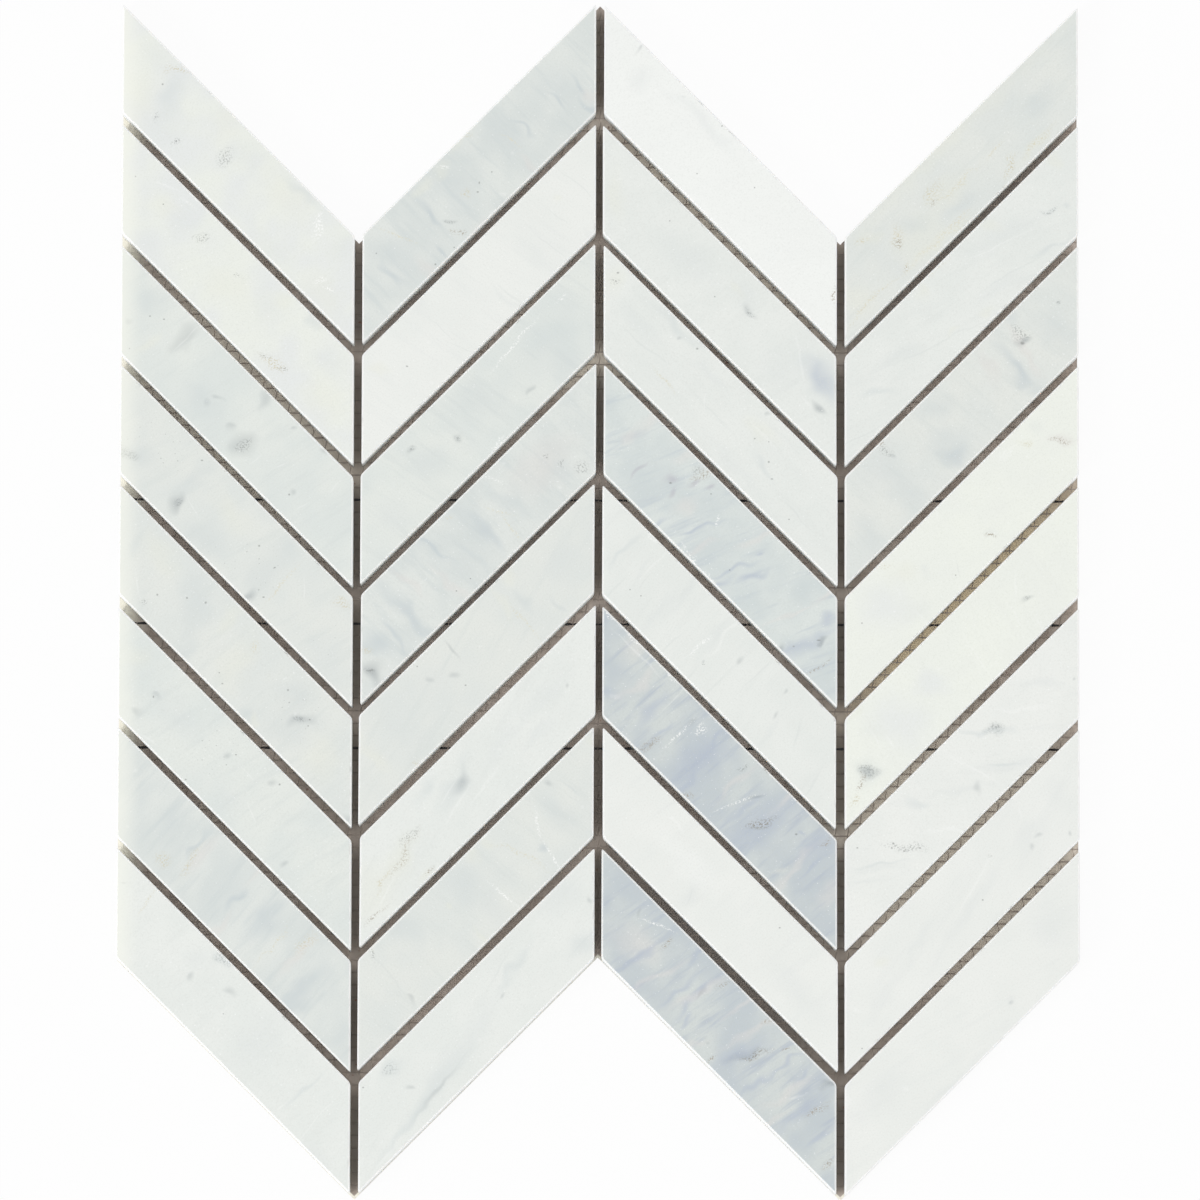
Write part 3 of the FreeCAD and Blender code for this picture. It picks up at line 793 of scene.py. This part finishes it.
        ("cream", 36, 50, 5, 4, -45), ("dark", 23, 37.5, 3, 1.9, -30), ("cloud", 30, 35.5, 11.5, 1.6, -40),
        ("flecks", 19.5, 23.5, 13, 1.6, -65), ("white", 18.5, 25.5, 1.3, 2, 0),
        ("teal", 22, 15.5, 4.5, 3, 0), ("cream", -0.5, 15, 7.5, 4.5, -70), ("vein", 14, 14, 23.5, 2, -28),
        ("cream", 4, 18.5, 6.5, 5, 0), ("flecks", 9.5, 1, 16, 1.3, -38), ("cream", -9, -2.5, 3, 2.5, 0),
        ("cream", 2.5, -12, 9.5, 2, -45), ("line", -27, -25.5, 23, 1, -50),
        ("specks", -34, -18, 4.5, 2, -60), ("cream", -35, -16.5, 4, 3, 0),
        ("cloud", 26.5, 27, 22.5, 9.5, -45), ("cloud", -2.5, 4.5, 28.5, 13, -40),
        ("white", 34, 29, 1.3, 1.3, 0), ("dark", -20, -33, 4, 1.9, -50), ("flecks", 24.5, 13.5, 13, 1, -60),
        ("cloud", -24.5, -8.5, 28.5, 9.5, -40), ("haze", 7, -5, 19, 9.5, -45),
    ),
    (2, 8): (
        ("cloud", -12, -20, 38.5, 7, 52), ("dark", -12.5, -23, 22.5, 1.9, 52),
        ("cloud", 33.5, 25, 14.5, 7, 50), ("line", 7, 16, 17, 1, 60), ("cloud", 12, 17, 21, 4, 58),
        ("line", -12, 5.5, 14, 1, 45), ("line", 34, 25.5, 14, 0.6, 50),
        ("specks", -27.5, -15, 5.5, 4.5, 40), ("cloud", -27.5, -15, 9.5, 7, 40),
        ("dark", -22.5, -20.5, 2.5, 1.9, 0), ("dark", 9, 9, 4, 1.6, 70), ("white", -29, -44, 17, 1, 50),
        ("white", 1, -6, 1.3, 1.3, 0), ("dot", -36, -21.5, 0.8, 0.6, 0), ("haze", -2.5, -4.5, 48, 9.5, 50),
        ("cloud", -21.5, -33.5, 35, 3, 52), ("haze", 26.5, 40, 19, 13, 45), ("dark", 36, 38.5, 2.5, 2.5, 0),
        ("line", -7, -15.5, 25.5, 0.6, 55), ("white", -30, -39, 1.3, 1.3, 0),
    ),
    (3, 1): (
        ("dark", -26.5, 41.5, 4, 1.9, 70), ("line", -12, 25.5, 2.5, 1.3, 0), ("dot", 0.5, 16, 0.8, 0.6, 60),
        ("dot", -7.5, 0.5, 0.6, 0.6, 0), ("brown", 37.5, -39, 5.5, 2, 85),
        ("haze", -6.5, 17.5, 38.5, 5, -45),
        ("white", -6.5, -11, 19, 6.5, -45), ("haze", -26, 30.5, 9.5, 9.5, 0), ("dot", 11, -4, 0.6, 0.6, 0),
    ),
    (3, 2): (
        ("cream", -33.5, 32.5, 19, 7.5, -80), ("white", -32.5, 37.5, 2.5, 1, 20),
        ("dot", -16, 24, 0.6, 0.6, 0),
        ("dark", 10, -4, 5.5, 3, -50), ("specks", 10.5, -4.5, 4, 2, -50), ("cream", 6, 1.5, 6.5, 3, -60),
        ("haze", 8.5, -1, 11.5, 5.5, -60), ("cloud", 33.5, -26, 27, 16.5, -50),
        ("blue", 33, -27, 19, 8.5, -50), ("white", 26, -21, 20, 1, -82), ("haze", -10, 12, 28.5, 13, -45),
        ("haze", 19, -23.5, 16, 16, 0), ("white", 28, -34.5, 5.5, 1, -50), ("dot", -1.5, -0.5, 0.6, 0.6, 0),
        ("heart", 31.5, -36, 6.5, 2.5, -45),
    ),
    (3, 3): (
        ("cream", -34.5, 43.5, 13, 8.5, 70), ("dot", -33, 46, 1, 0.8, 0),
        ("specks", -34.5, 43, 4, 2.5, 0), ("line", -24.5, 22.5, 25.5, 1, -40),
        ("cloud", -13.5, 28.5, 22.5, 4.5, -45), ("vein", -18, 11, 13, 1.3, -50),
        ("line", -3, 1, 19, 0.6, -45), ("dark", -12, 25, 1.9, 1.6, 0), ("dot", -7.5, 21.5, 1, 0.8, 0),
        ("dot", 11, -7.5, 0.8, 0.6, 0), ("dot", 15.5, -8.5, 0.6, 0.6, 0), ("dot", 15.5, -15, 0.8, 0.8, 0),
        ("dot", 16.5, -20.5, 1, 0.6, 0), ("dark", 15.5, -0.5, 2, 2, 0), ("cream", 12.5, -5, 13, 7.5, -40),
        ("haze", 4.5, -16.5, 35, 5, -45), ("white", 14, -7, 16, 1.3, -50),
        ("line", 25, -32.5, 19, 0.6, -50), ("haze", -26, 30, 19, 6.5, -45), ("white", -5, 4.5, 7, 0.6, 80),
        ("cloud", 14, -16.5, 14, 2.5, -60), ("dot", 22, -33.5, 0.6, 0.6, 0),
        ("haze", -3.5, 12.5, 19, 4.5, -40),
    ),
    (3, 4): (
        ("pink", -21, 37.5, 19, 4.5, 30), ("pink", -10, 26.5, 11, 4, 45), ("pink", 12, -1, 21, 3, 25),
        ("pink", -6.5, -4, 14, 2.5, 25), ("pink", -10.5, 9, 11, 5, 30), ("pink", 33.5, -19.5, 11, 2.5, 20),
        ("purple", -16.5, 17, 5.5, 3, 10), ("dot", -16, 17, 1.2, 0.8, 0), ("purple", -8, 17, 5, 2, 20),
        ("purple", -3, 15.5, 4.5, 2, 20), ("purple", -15, 13, 4.5, 2.5, 60),
        ("purple", -26, 22.5, 7, 2, 50), ("specks", -8, 21.5, 4.5, 2.5, 20), ("dot", -3, 13.5, 0.6, 0.6, 0),
        ("blue", 10.5, -12.5, 11.5, 3, 30), ("blue", 12.5, -5, 5.5, 1.6, 20),
        ("blue", 27, -34.5, 25.5, 5, 24), ("heart", 20, -35.5, 4, 3, 0), ("heart", 32, -33.5, 4, 2, 0),
        ("dot", 23.5, -35.5, 0.8, 0.6, 0), ("dot", 31.5, -33.5, 1.6, 0.6, 0),
        ("brown", 31.5, -41.5, 11, 2, 20),
        ("blue", -0.5, -16, 13, 2.5, 24), ("white", -1.5, -15, 3, 1.9, -45),
        ("blue", 4.5, -11, 19, 1.9, 24), ("pink", -29, 32, 6.5, 4, 20), ("cloud", -26, 13, 19, 9.5, 20),
        ("blue", -6.5, 2, 19, 1.9, 20), ("pink", 22, -25.5, 22.5, 1.6, 22), ("blue", 35, -27, 8.5, 4.5, 24),
        ("brown", -6.5, 19.5, 9.5, 4.5, 20), ("dot", 3, -11, 0.6, 0.6, 0), ("blue", -21, 3.5, 13, 1.9, 20),
        ("white", -21, 0, 13, 1, -45), ("flecks", -1, 5, 4.5, 1.3, 80), ("flecks", -5, -11.5, 14, 1.6, -45),
        ("flecks", -10, -6, 8.5, 1.6, -45),
    ),
    (3, 5): (
        ("cloud", -30.5, 34, 14.5, 2, 50), ("white", -19.5, 31, 14, 1, 45), ("white", -21, 37, 3, 1.6, -40),
        ("line", -33.5, 22, 11, 1, 50), ("line", -24, 24.5, 9.5, 0.6, 50), ("dot", -25, 19.5, 0.6, 0.6, 0),
        ("dot", -28.5, 21.5, 0.6, 0.6, 0), ("dark", -5, -3, 2.5, 1.6, 30), ("dark", 6, -1.5, 3, 1.9, 40),
        ("line", -10, -7, 11.5, 1.3, 50), ("haze", -0.5, 7, 25.5, 4.5, 50),
        ("line", 25, -25.5, 11.5, 1.3, 80), ("haze", 15.5, -25, 19, 2.5, 62),
        ("haze", -19.5, 13.5, 22.5, 4.5, 48), ("line", -1, -9, 19, 1, 45), ("specks", -5, -3, 1.6, 1.3, 0),
        ("white", 3, 7, 25.5, 1.6, 48), ("line", -15.5, 4, 16, 1, 45), ("dark", 18, -18.5, 4, 1.3, 60),
        ("line", 30, -40.5, 13, 1, 60), ("haze", -10, 20, 28.5, 3, 48), ("flecks", -6.5, 2.5, 13, 1.6, 40),
        ("haze", -26, 28, 13, 2.5, 50), ("dark", 20.5, -11, 2.5, 1.6, 30),
        ("line", 12.5, -5.5, 19, 0.6, 45), ("flecks", -22, 38, 6.5, 1.9, -45),
    ),
    (3, 6): (
        ("blue", -6.5, 6, 28.5, 16, 40), ("blue", 13, -15.5, 35, 13, 38), ("blue", -22, 22, 16, 5.5, 45),
        ("blue", 31.5, -21.5, 16, 9.5, 45), ("brown", -22, 10.5, 8.5, 3, 15),
        ("dark", -22.5, 10.5, 4.5, 1.9, 10), ("heart", 11.5, -6.5, 7, 1.6, 22),
        ("brown", 13, -14.5, 10, 3, 12), ("specks", 13, -14.5, 9.5, 3, 12), ("brown", -10, -5, 4, 3, 0),
        ("flecks", -13, 14, 16, 1, 45), ("white", -14.5, 25.5, 14, 0.5, 48),
        ("white", -31.5, 25.5, 2.5, 1.9, 0), ("flecks", 5.5, -8, 18, 1, 22),
        ("dark", 12.5, -15.5, 7.5, 1.9, 12), ("pink", 6, -2, 22.5, 3, 40), ("pink", -26, 30, 19, 4, 40),
        ("pink", -26, 43, 16, 8.5, 60), ("blue", -0.5, 12.5, 19, 2.5, 40), ("blue", -10, -2, 16, 2.5, 42),
        ("dark", -8.5, 18, 4, 1.6, 20), ("blue", 7.5, -10, 19, 2.5, 35), ("pink", 22, -6.5, 19, 3, 40),
        ("blue", 27, -18, 2.5, 2.5, 0), ("pink", 22, -30.5, 28.5, 3, 45), ("blue", 31.5, -27.5, 14, 2, 45),
        ("dot", 24.5, -18, 1, 0.8, 0), ("pink", 35, -37, 13, 6.5, 45), ("specks", 7.5, 3, 5.5, 2, 30),
        ("white", -33, 25.5, 1.9, 1.6, 0), ("cream", 19, -29, 9.5, 3, 20),
        ("brown", 33.5, -20.5, 5, 1.9, 45), ("flecks", -6.5, 15.5, 5, 2.5, 0),
        ("blue", -19.5, 14, 13, 2, 45), ("white", -26, 39.5, 25.5, 1, -45),
        ("blue", -38.5, 27, 6.5, 19, 80), ("flecks", -26, 43.5, 16, 1.6, -45),
        ("flecks", -17, 34.5, 9.5, 1.6, -45), ("flecks", 4.5, 13.5, 11.5, 1.3, -45),
        ("flecks", -35.5, 53, 5, 1.6, -45),
    ),
    (3, 7): (
        ("white", -13.5, 23.5, 6.5, 1.3, -50), ("white", -15.5, 25.5, 2.5, 1.3, 0),
        ("dot", 19, -9, 0.8, 0.6, 0), ("line", 21, -2, 2.5, 1.6, 0), ("haze", -10, 2, 13, 6.5, 60),
        ("white", -10, 11.5, 32, 9.5, -45), ("haze", 25, -30, 28.5, 9.5, -45),
        ("line", -10, 0.5, 7.5, 0.6, 70),
    ),
    (3, 8): (
        ("blue", -7.5, 20, 9, 3, 62), ("blue", -5, 23, 5, 2, 60), ("blue", -5, 10.5, 6.5, 2.5, 58),
        ("heart", -5, 10, 4, 1.6, 58), ("blue", -9.5, 5.5, 18, 3, 55), ("heart", 8.5, -11, 14, 4.5, 22),
        ("blue", 7.5, -10.5, 22.5, 7.5, 25), ("blue", -10, 0.5, 8.5, 2.5, 60),
        ("blue", 27, -17.5, 11, 3, 55), ("blue", 25, -30, 22.5, 5.5, 38), ("heart", 36, -20.5, 3, 6.5, 85),
        ("brown", -17, 24.5, 7.5, 2.5, 42), ("brown", 11.5, -11, 11.5, 3, 25),
        ("specks", 11.5, -10.5, 9.5, 3, 25), ("brown", 21.5, -9.5, 5.5, 2, 20),
        ("brown", 31.5, -28, 9, 2, 28), ("brown", 35, -44, 6.5, 2.5, 30),
        ("dark", -3.5, -6.5, 1.6, 1.3, 30), ("flecks", -19.5, 31, 14.5, 1, -25),
        ("white", 24.5, -24, 7, 1, 15), ("pink", -19.5, 13.5, 25.5, 3, 30), ("pink", -6.5, 9, 28.5, 3, 32),
        ("pink", -26, 25, 19, 13, -45), ("pink", -10, -8.5, 19, 3, 30), ("pink", 12.5, -2.5, 28.5, 3, 28),
        ("dark", -25, 35.5, 4, 1.9, 80), ("blue", -13, 9, 25.5, 2.5, 38), ("blue", -26, 20, 13, 3, 38),
        ("pink", 22, -23, 22.5, 3, 30), ("blue", 12.5, -20, 19, 2.5, 32), ("brown", 15.5, -0.5, 7, 2, 30),
        ("brown", -1.5, -11, 5, 2, 20), ("pink", 15.5, -32.5, 19, 2.5, 35), ("blue", 33, -36, 13, 3, 40),
        ("brown", 1.5, 12, 7.5, 1.9, 30), ("pink", 7.5, 5.5, 19, 1.9, 30), ("blue", 22, -13.5, 16, 2, 40),
    ),
    (4, 1): (
        ("cream", 0.5, 17.5, 105.5, 8.5, 45), ("gold", -9, -5.5, 10, 6.5, 60),
        ("gold", -20, -19.5, 9.5, 5, 80), ("gold", -19, -29, 6.5, 4, 80),
        ("cream", -13.5, -20.5, 22.5, 16, 40), ("cream", -5, -6, 22.5, 9.5, 48),
        ("vein", -1, -3, 21, 1.9, 42), ("gold", 15.5, 3.5, 11, 3, 80), ("gold", 24, 11, 18, 3, 50),
        ("cream", 23.5, 10, 19, 5.5, 50), ("gold", 13.5, -3.5, 3, 2, 0), ("vein", -7, -21.5, 30.5, 3, 38),
        ("cream", -6.5, -21.5, 32, 5.5, 38), ("vein", -0.5, -14.5, 14.5, 1.9, 45),
        ("gold", -32, -21.5, 5.5, 3, 20), ("cream", -29.5, -19.5, 11, 6.5, 20),
        ("cream", -33, -40, 13, 13, 70), ("vein", -31.5, -42.5, 18, 1.9, 55),
        ("haze", -23.5, -28, 9.5, 8.5, 0), ("cloud", -15.5, -16, 11, 7.5, 0),
        ("haze", 13, 26, 38.5, 13, 45), ("brown", -20, -21.5, 4.5, 2.5, 60),
        ("brown", -9, -8.5, 4.5, 1.9, 20), ("brown", -19, -29, 3, 2.5, 0), ("cloud", 0, -9, 16, 6.5, 40),
        ("vein", 11, 8.5, 11, 1.3, 55), ("white", 15, 11.5, 1.3, 1, 0), ("vein", -25.5, -36.5, 16, 1.6, 45),
        ("cloud", 25.5, 24.5, 19, 9.5, 50), ("dot", 13.5, -3.5, 0.8, 0.6, 0),
    ),
    (4, 2): (
        ("cloud", 28.5, 28, 5.5, 3, 25), ("specks", 28.5, 28, 5, 2.5, 25), ("cloud", 34, 27.5, 5, 1.9, -15),
        ("haze", 13.5, 20, 41.5, 8.5, 28), ("line", -8.5, -16, 48, 0.8, 26), ("line", 16, 7, 30.5, 0.8, 31),
        ("cream", -13, 0, 5.5, 5, 0), ("cream", 9.5, 23, 8.5, 4.5, 0), ("cream", 8, -4.5, 7, 3, 0),
        ("cream", -1.5, -12.5, 6.5, 2.5, 30), ("vein", -7.5, 8.5, 9.5, 2, 42),
        ("cloud", -27, -31, 14.5, 3, 8), ("haze", -19, -19.5, 22.5, 4.5, 30),
        ("white", 12, 16.5, 28.5, 0.6, 25), ("line", -32, -45.5, 19, 0.6, 30),
        ("haze", 13, 2.5, 25.5, 4, 28), ("cloud", 28.5, 15.5, 19, 2.5, 28),
        ("cream", 29.5, 44, 6.5, 6.5, 0),
    ),
    (4, 3): (
        ("cloud", 30, 27.5, 21, 14.5, -30), ("cloud", 19, 14, 25.5, 9, -42),
        ("pink", 20.5, 20.5, 25.5, 3, -54), ("cloud", 15.5, 31.5, 9.5, 5, -55),
        ("heart", 19.5, 23.5, 5, 4, 0), ("specks", 18.5, 26, 7, 5, -50), ("dot", 19.5, 23.5, 1.6, 1.2, 0),
        ("teal", 18.5, 14, 16, 4.5, -45), ("cloud", -4, -9.5, 19, 14, -20), ("teal", -3, -13, 11, 7, 0),
        ("cloud", -8, 2.5, 16, 9.5, 0), ("cloud", -19, -22.5, 25.5, 11, -52),
        ("cloud", -29.5, -38.5, 19, 9.5, -50), ("brown", -25, -9.5, 3, 2, 0),
        ("dark", -22.5, -13.5, 3, 2, 0), ("specks", -23.5, -12, 5, 4.5, -45),
        ("white", -12.5, -9, 1.6, 0.6, 80), ("dark", 31.5, 36.5, 2, 2, 0),
        ("specks", 31.5, 36.5, 2, 1.9, 0), ("cloud", 24, 7, 7.5, 4, 0), ("haze", -28.5, -19, 13, 16, 0),
        ("pink", 8, 16, 16, 4, -50), ("cloud", 13, 21, 13, 4.5, -45),
    ),
    (4, 4): (
        ("gold", 20, 29.5, 4, 2.5, 0), ("cream", 20, 29.5, 5.5, 4, 0), ("pink", 31.5, 31.5, 9.5, 4.5, 0),
        ("brown", 31, 31, 6.5, 3, 0), ("white", -8, 6.5, 4.5, 0.6, -82),
        ("white", -1, -17.5, 5.5, 1.3, -72), ("white", -12.5, -26.5, 9, 1, -48),
        ("white", -20, -18.5, 5, 1, -70), ("haze", 9.5, 1.5, 4.5, 3, 30), ("brown", 9.5, 0.5, 3, 1.9, 0),
        ("haze", -11, -11, 4, 4, 0), ("dot", -2, -12.5, 0.6, 0.6, 0), ("haze", -14, -23.5, 16, 9.5, 0),
        ("grey", -25.5, -22, 22.5, 19, -45), ("haze", 24, 35.5, 6.5, 6.5, 0),
        ("line", -1.5, -10.5, 6.5, 0.6, -80), ("cream", -19, -12, 13, 6.5, 0),
        ("dot", -32, -28, 0.6, 0.6, 0),
        ("vein", -24.5, -9, 4.5, 2.5, 0), ("white", 14.5, 26, 6.5, 2.5, 30),
    ),
    (4, 5): (
        ("white", 17, 23, 11, 1, -88), ("white", 17, 13.5, 9.5, 1, -58), ("white", 5, 0.5, 17, 0.8, -56),
        ("white", 25.5, 10, 9.5, 0.8, -58), ("dark", 21, 19.5, 5, 2, 5), ("specks", 21, 19.5, 3, 1.6, 5),
        ("white", 7, -8, 3, 1.6, -70), ("cloud", -30.5, -37.5, 11, 11, 0), ("heart", -30.5, -37.5, 7, 5, 0),
        ("specks", -30.5, -37, 7, 5.5, 0), ("gold", -34, -46, 5, 4, 60), ("white", -21.5, -16, 4.5, 2, 0),
        ("grey", -19, -21, 28.5, 19, -45), ("white", -28, -26, 9.5, 1, -60),
        ("white", -7.5, -3.5, 2.5, 1.3, -30), ("haze", -28.5, -24.5, 9.5, 9.5, 0),
        ("brown", -33, -40.5, 6.5, 3, 80), ("cream", -34, -18, 5, 5, 0), ("grey", -9.5, -8.5, 13, 9.5, 0),
        ("white", -22.5, -27.5, 6.5, 1, -60),
    ),
    (4, 6): (
        ("dark", 10.5, 16, 5, 4.5, 0), ("specks", 10.5, 16, 5, 4.5, 0), ("cloud", 8, 15, 25.5, 2.5, 0),
        ("white", 4, 3, 25, 1, -29), ("specks", -18.5, -22, 16.5, 3, -5), ("dot", -22, -20.5, 0.8, 0.6, 0),
        ("dot", -22.5, -22, 0.8, 0.8, 0), ("dot", -18.5, -23, 1, 0.6, 0), ("dot", -13.5, -22, 1, 0.6, 0),
        ("dot", -33.5, -22, 0.8, 0.6, 0), ("haze", 14.5, 4.5, 28.5, 5, 5), ("white", -5.5, -16, 19, 2.5, 5),
        ("cloud", -14.5, -7, 8.5, 4, 0), ("haze", -25.5, -28.5, 22.5, 3, 5),
        ("white", 19, 22.5, 22.5, 1.9, 0), ("haze", 25.5, 30.5, 16, 4.5, 5), ("dark", 36, 33, 1.6, 1.9, 0),
        ("haze", 0, -3, 28.5, 3, 5), ("cloud", -25.5, -27, 19, 1.6, 5), ("dark", 5, -3, 3, 3, 0),
        ("haze", -30.5, -33.5, 16, 2, 8), ("cloud", 13, 5, 13, 1.3, 0),
    ),
    (4, 7): (
        ("dark", 23, 17.5, 3, 2.5, 20), ("dark", 25, 20.5, 2, 1.6, 20), ("dark", 34, 22, 2, 3, 0),
        ("haze", 3, -1.5, 41.5, 5.5, 55), ("haze", 22.5, 21.5, 19, 9.5, 50),
        ("specks", 9, 14.5, 1.9, 1.3, 0), ("white", -34, -35, 1.6, 3, 70), ("white", 18, 28, 4.5, 0.8, -80),
        ("dark", -28, -44.5, 2.5, 1.6, 30), ("gold", -28, -44.5, 2, 1.6, 0), ("haze", 32, 11, 7.5, 4.5, 0),
        ("cream", -25.5, -19.5, 7.5, 4.5, 0), ("haze", -13, -13.5, 22.5, 4.5, 58),
        ("white", 4, 5.5, 28.5, 1, 60), ("dot", 6.5, 0.5, 0.8, 0.6, 0), ("haze", -25.5, -31, 22.5, 5, 55),
        ("dot", -32, -47, 0.6, 0.6, 0), ("haze", 30.5, 34, 16, 9.5, 80),
    ),
    (4, 8): (
        ("white", -17, -19.5, 2.5, 1.9, 0), ("haze", 15.5, 6.5, 4, 2.5, 0),
        ("white", -36.5, -24.5, 5, 2, 85), ("haze", 28.5, 31.5, 19, 19, 0),
        ("haze", -25.5, -22.5, 28.5, 13, 45), ("dark", 15.5, 6.5, 2, 1.3, 20),
        ("haze", 0, -16.5, 44.5, 4.5, 45),
    ),
}


def marble(name, kind, lie, middle, seen):
    """Honed marble of one kind, with its streaks at the slope lie and its own marks."""
    body, cloud, streak, cloudiness, streakiness = STONES[kind]
    material, tree, shader, place = new_finish(name)
    # No two strips are cut from the same depth of the block, so no two have the same drift
    slab = mapped(tree, place, middle=(middle.x, middle.y, -middle.x - 1.37 * middle.y), turn=lie,
                  size=(MM, MM, MM))
    drift = noise(tree, slab, 0.05, detail=2.0, roughness=0.6)
    colour = laid_over(tree, on_screen(*body), on_screen(*cloud),
                       between(tree, drift, 0.35, 0.65, 0, cloudiness))
    drawn_out = mapped(tree, slab, size=(7, 1, 1))
    streaks = noise(tree, drawn_out, 0.3, detail=3.0, roughness=0.65)
    colour = laid_over(tree, colour, on_screen(*streak), between(tree, streaks, 0.48, 0.75, 0, streakiness))
    shapes = {
        "whole": 1.0,
        "broken": between(tree, noise(tree, place, 1600, detail=1.0, roughness=0.7), 0.48, 0.60),
        "peppered": between(tree, noise(tree, place, 1300, detail=0.0), 0.75, 0.82),
    }
    # Broad marks have a more uneven edge than fine ones, and a dot is one crystal with an even edge
    push = uneven(tree, place, 110)
    broad = ragged(tree, place, push, 8 * MM)
    fine = ragged(tree, place, push, 2.5 * MM)
    for mark, right, up, length, width, turn in seen:
        tint, cover, core, shape = MARKS[mark]
        drawn_on = place if mark == "dot" else broad if width > 1.5 else fine
        about = mapped(tree, drawn_on, middle=(middle.x + right * MM, middle.y + up * MM, 0), turn=turn,
                       size=(length / 2 * MM, width / 2 * MM, 1))
        out = add_node(tree, "ShaderNodeVectorMath", {"operation": "LENGTH"}, {0: about}).outputs["Value"]
        amount = arithmetic(tree, "MULTIPLY", between(tree, out, core, 1.25, cover, 0), shapes[shape])
        colour = laid_over(tree, colour, on_screen(*tint), amount)
    crystals = noise(tree, slab, 1.8, detail=1.0, roughness=0.7)
    colour = laid_over(tree, colour, on_screen(*(part - 16 for part in body)),
                       between(tree, crystals, 0.45, 0.75, 0, 0.35))
    colour = laid_over(tree, colour, on_screen(252, 253, 252), between(tree, crystals, 0.22, 0.28, 0.7, 0))
    # Painted light: the open ends at the sheet's left edge are painted a little creamier, where the light
    # from the left falls on and through them
    sides = add_node(tree, "ShaderNodeSeparateXYZ", {}, {0: place})
    colour = laid_over(tree, colour, on_screen(246, 247, 237),
                       between(tree, sides.outputs[0], backing_low.x, backing_low.x + 8 * MM, 0.6, 0))
    rubbed = add_node(tree, "ShaderNodeAttribute", {"attribute_name": "rubbed"}, {}).outputs["Fac"]
    sawn = add_node(tree, "ShaderNodeAttribute", {"attribute_name": "sawn"}, {}).outputs["Fac"]
    cut = arithmetic(tree, "MAXIMUM", sawn, rubbed)
    # The rubbed arrises and sawn sides are painted near white, as crushed stone is; on the arrises this is
    # partly a painted highlight
    colour = laid_over(tree, colour, on_screen(251, 251, 249), arithmetic(tree, "MULTIPLY", cut, 0.65))
    saw_marks = noise(tree, mapped(tree, place, size=(20, 20, 1)), 2500, detail=1.0)
    colour = laid_over(tree, colour, on_screen(206, 208, 204), arithmetic(
        tree, "MULTIPLY", sawn, between(tree, saw_marks, 0.45, 0.62, 0, 0.4)))
    tree.links.new(colour, shader.inputs["Base Color"])
    tree.links.new(arithmetic(tree, "ADD", between(tree, cut, 0, 1, 0.38, 0.7),
                              between(tree, drift, 0.3, 0.7, -0.04, 0.04)), shader.inputs["Roughness"])
    # Light sinks in at the face and comes out again at the cut sides
    tree.links.new(cut, shader.inputs["Subsurface Weight"])
    shader.inputs["Subsurface Radius"].default_value = (1.0, 0.96, 0.92)
    shader.inputs["Subsurface Scale"].default_value = 4 * MM
    bumped(tree, shader, crystals, 0.01 * MM)
    return material


blanks = {slope: strip_blank(slope) for slope in (1, -1)}
for column, rows in STRIPS.items():
    slope = 1 if column % 2 == 0 else -1
    for row, (kind, lie) in enumerate(rows, 1):
        node = f"chip_c{column}_r{row}"
        strip = set_strip(blanks[slope], node, slope)
        low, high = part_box(node)
        finish = marble(f"marble_c{column}_r{row}", kind, lie, (low + high) / 2, SEEN_IN[column, row])
        strip.data.materials.append(finish)
        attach(strip, "root")
        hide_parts(node)
for blank in blanks.values():
    bpy.data.objects.remove(blank)


# The table it lies on: a plain white floor that runs out of sight and keeps a faint shadow.
unselect_all()
bpy.ops.mesh.primitive_circle_add(vertices=64, radius=6, fill_type="NGON",
                                  location=(0, 0, backing_low.z - 0.05 * MM))
floor = bpy.context.object
floor.name = "floor"


def shown_white(tree, plain, share, result):
    """Lit plainly for all light that falls on the part, but a white glow for the most part where seen."""
    glow = add_node(tree, "ShaderNodeEmission", {}, {"Color": (1, 1, 1, 1)})
    path = add_node(tree, "ShaderNodeLightPath", {}, {})
    seen = arithmetic(tree, "MAXIMUM", path.outputs["Is Camera Ray"], path.outputs["Is Glossy Ray"])
    seen = arithmetic(tree, "MAXIMUM", seen, path.outputs["Is Transmission Ray"])
    shown = add_node(tree, "ShaderNodeMixShader", {}, {
        0: arithmetic(tree, "MULTIPLY", seen, share), 1: plain.outputs[0], 2: glow.outputs[0]})
    add_node(tree, result, {}, {"Surface": shown.outputs[0]})


white_floor = bpy.data.materials.new("white_floor")
white_floor.use_nodes = True
tree = white_floor.node_tree
tree.nodes.clear()
paint = add_node(tree, "ShaderNodeBsdfDiffuse", {}, {"Color": on_screen(235, 235, 235)})
shown_white(tree, paint, 0.93, "ShaderNodeOutputMaterial")
floor.data.materials.append(white_floor)

# The light: an even white room, and one large soft window on the left, a little below.
room = bpy.data.worlds.new("room")
bpy.context.scene.world = room
room.use_nodes = True
tree = room.node_tree
tree.nodes.clear()
wall = add_node(tree, "ShaderNodeBackground", {}, {"Color": (1, 1, 1, 1), "Strength": 0.86})
shown_white(tree, wall, 1.0, "ShaderNodeOutputWorld")

bpy.ops.object.light_add(type="AREA", location=(-3.2, -2.4, 3.0))
window = bpy.context.object
window.data.shape = "RECTANGLE"
window.data.size = 1.8
window.data.size_y = 1.8
window.data.energy = 66
window.rotation_euler = (-window.location).to_track_quat("-Z", "Y").to_euler()

bpy.context.scene.view_settings.view_transform = "Standard"
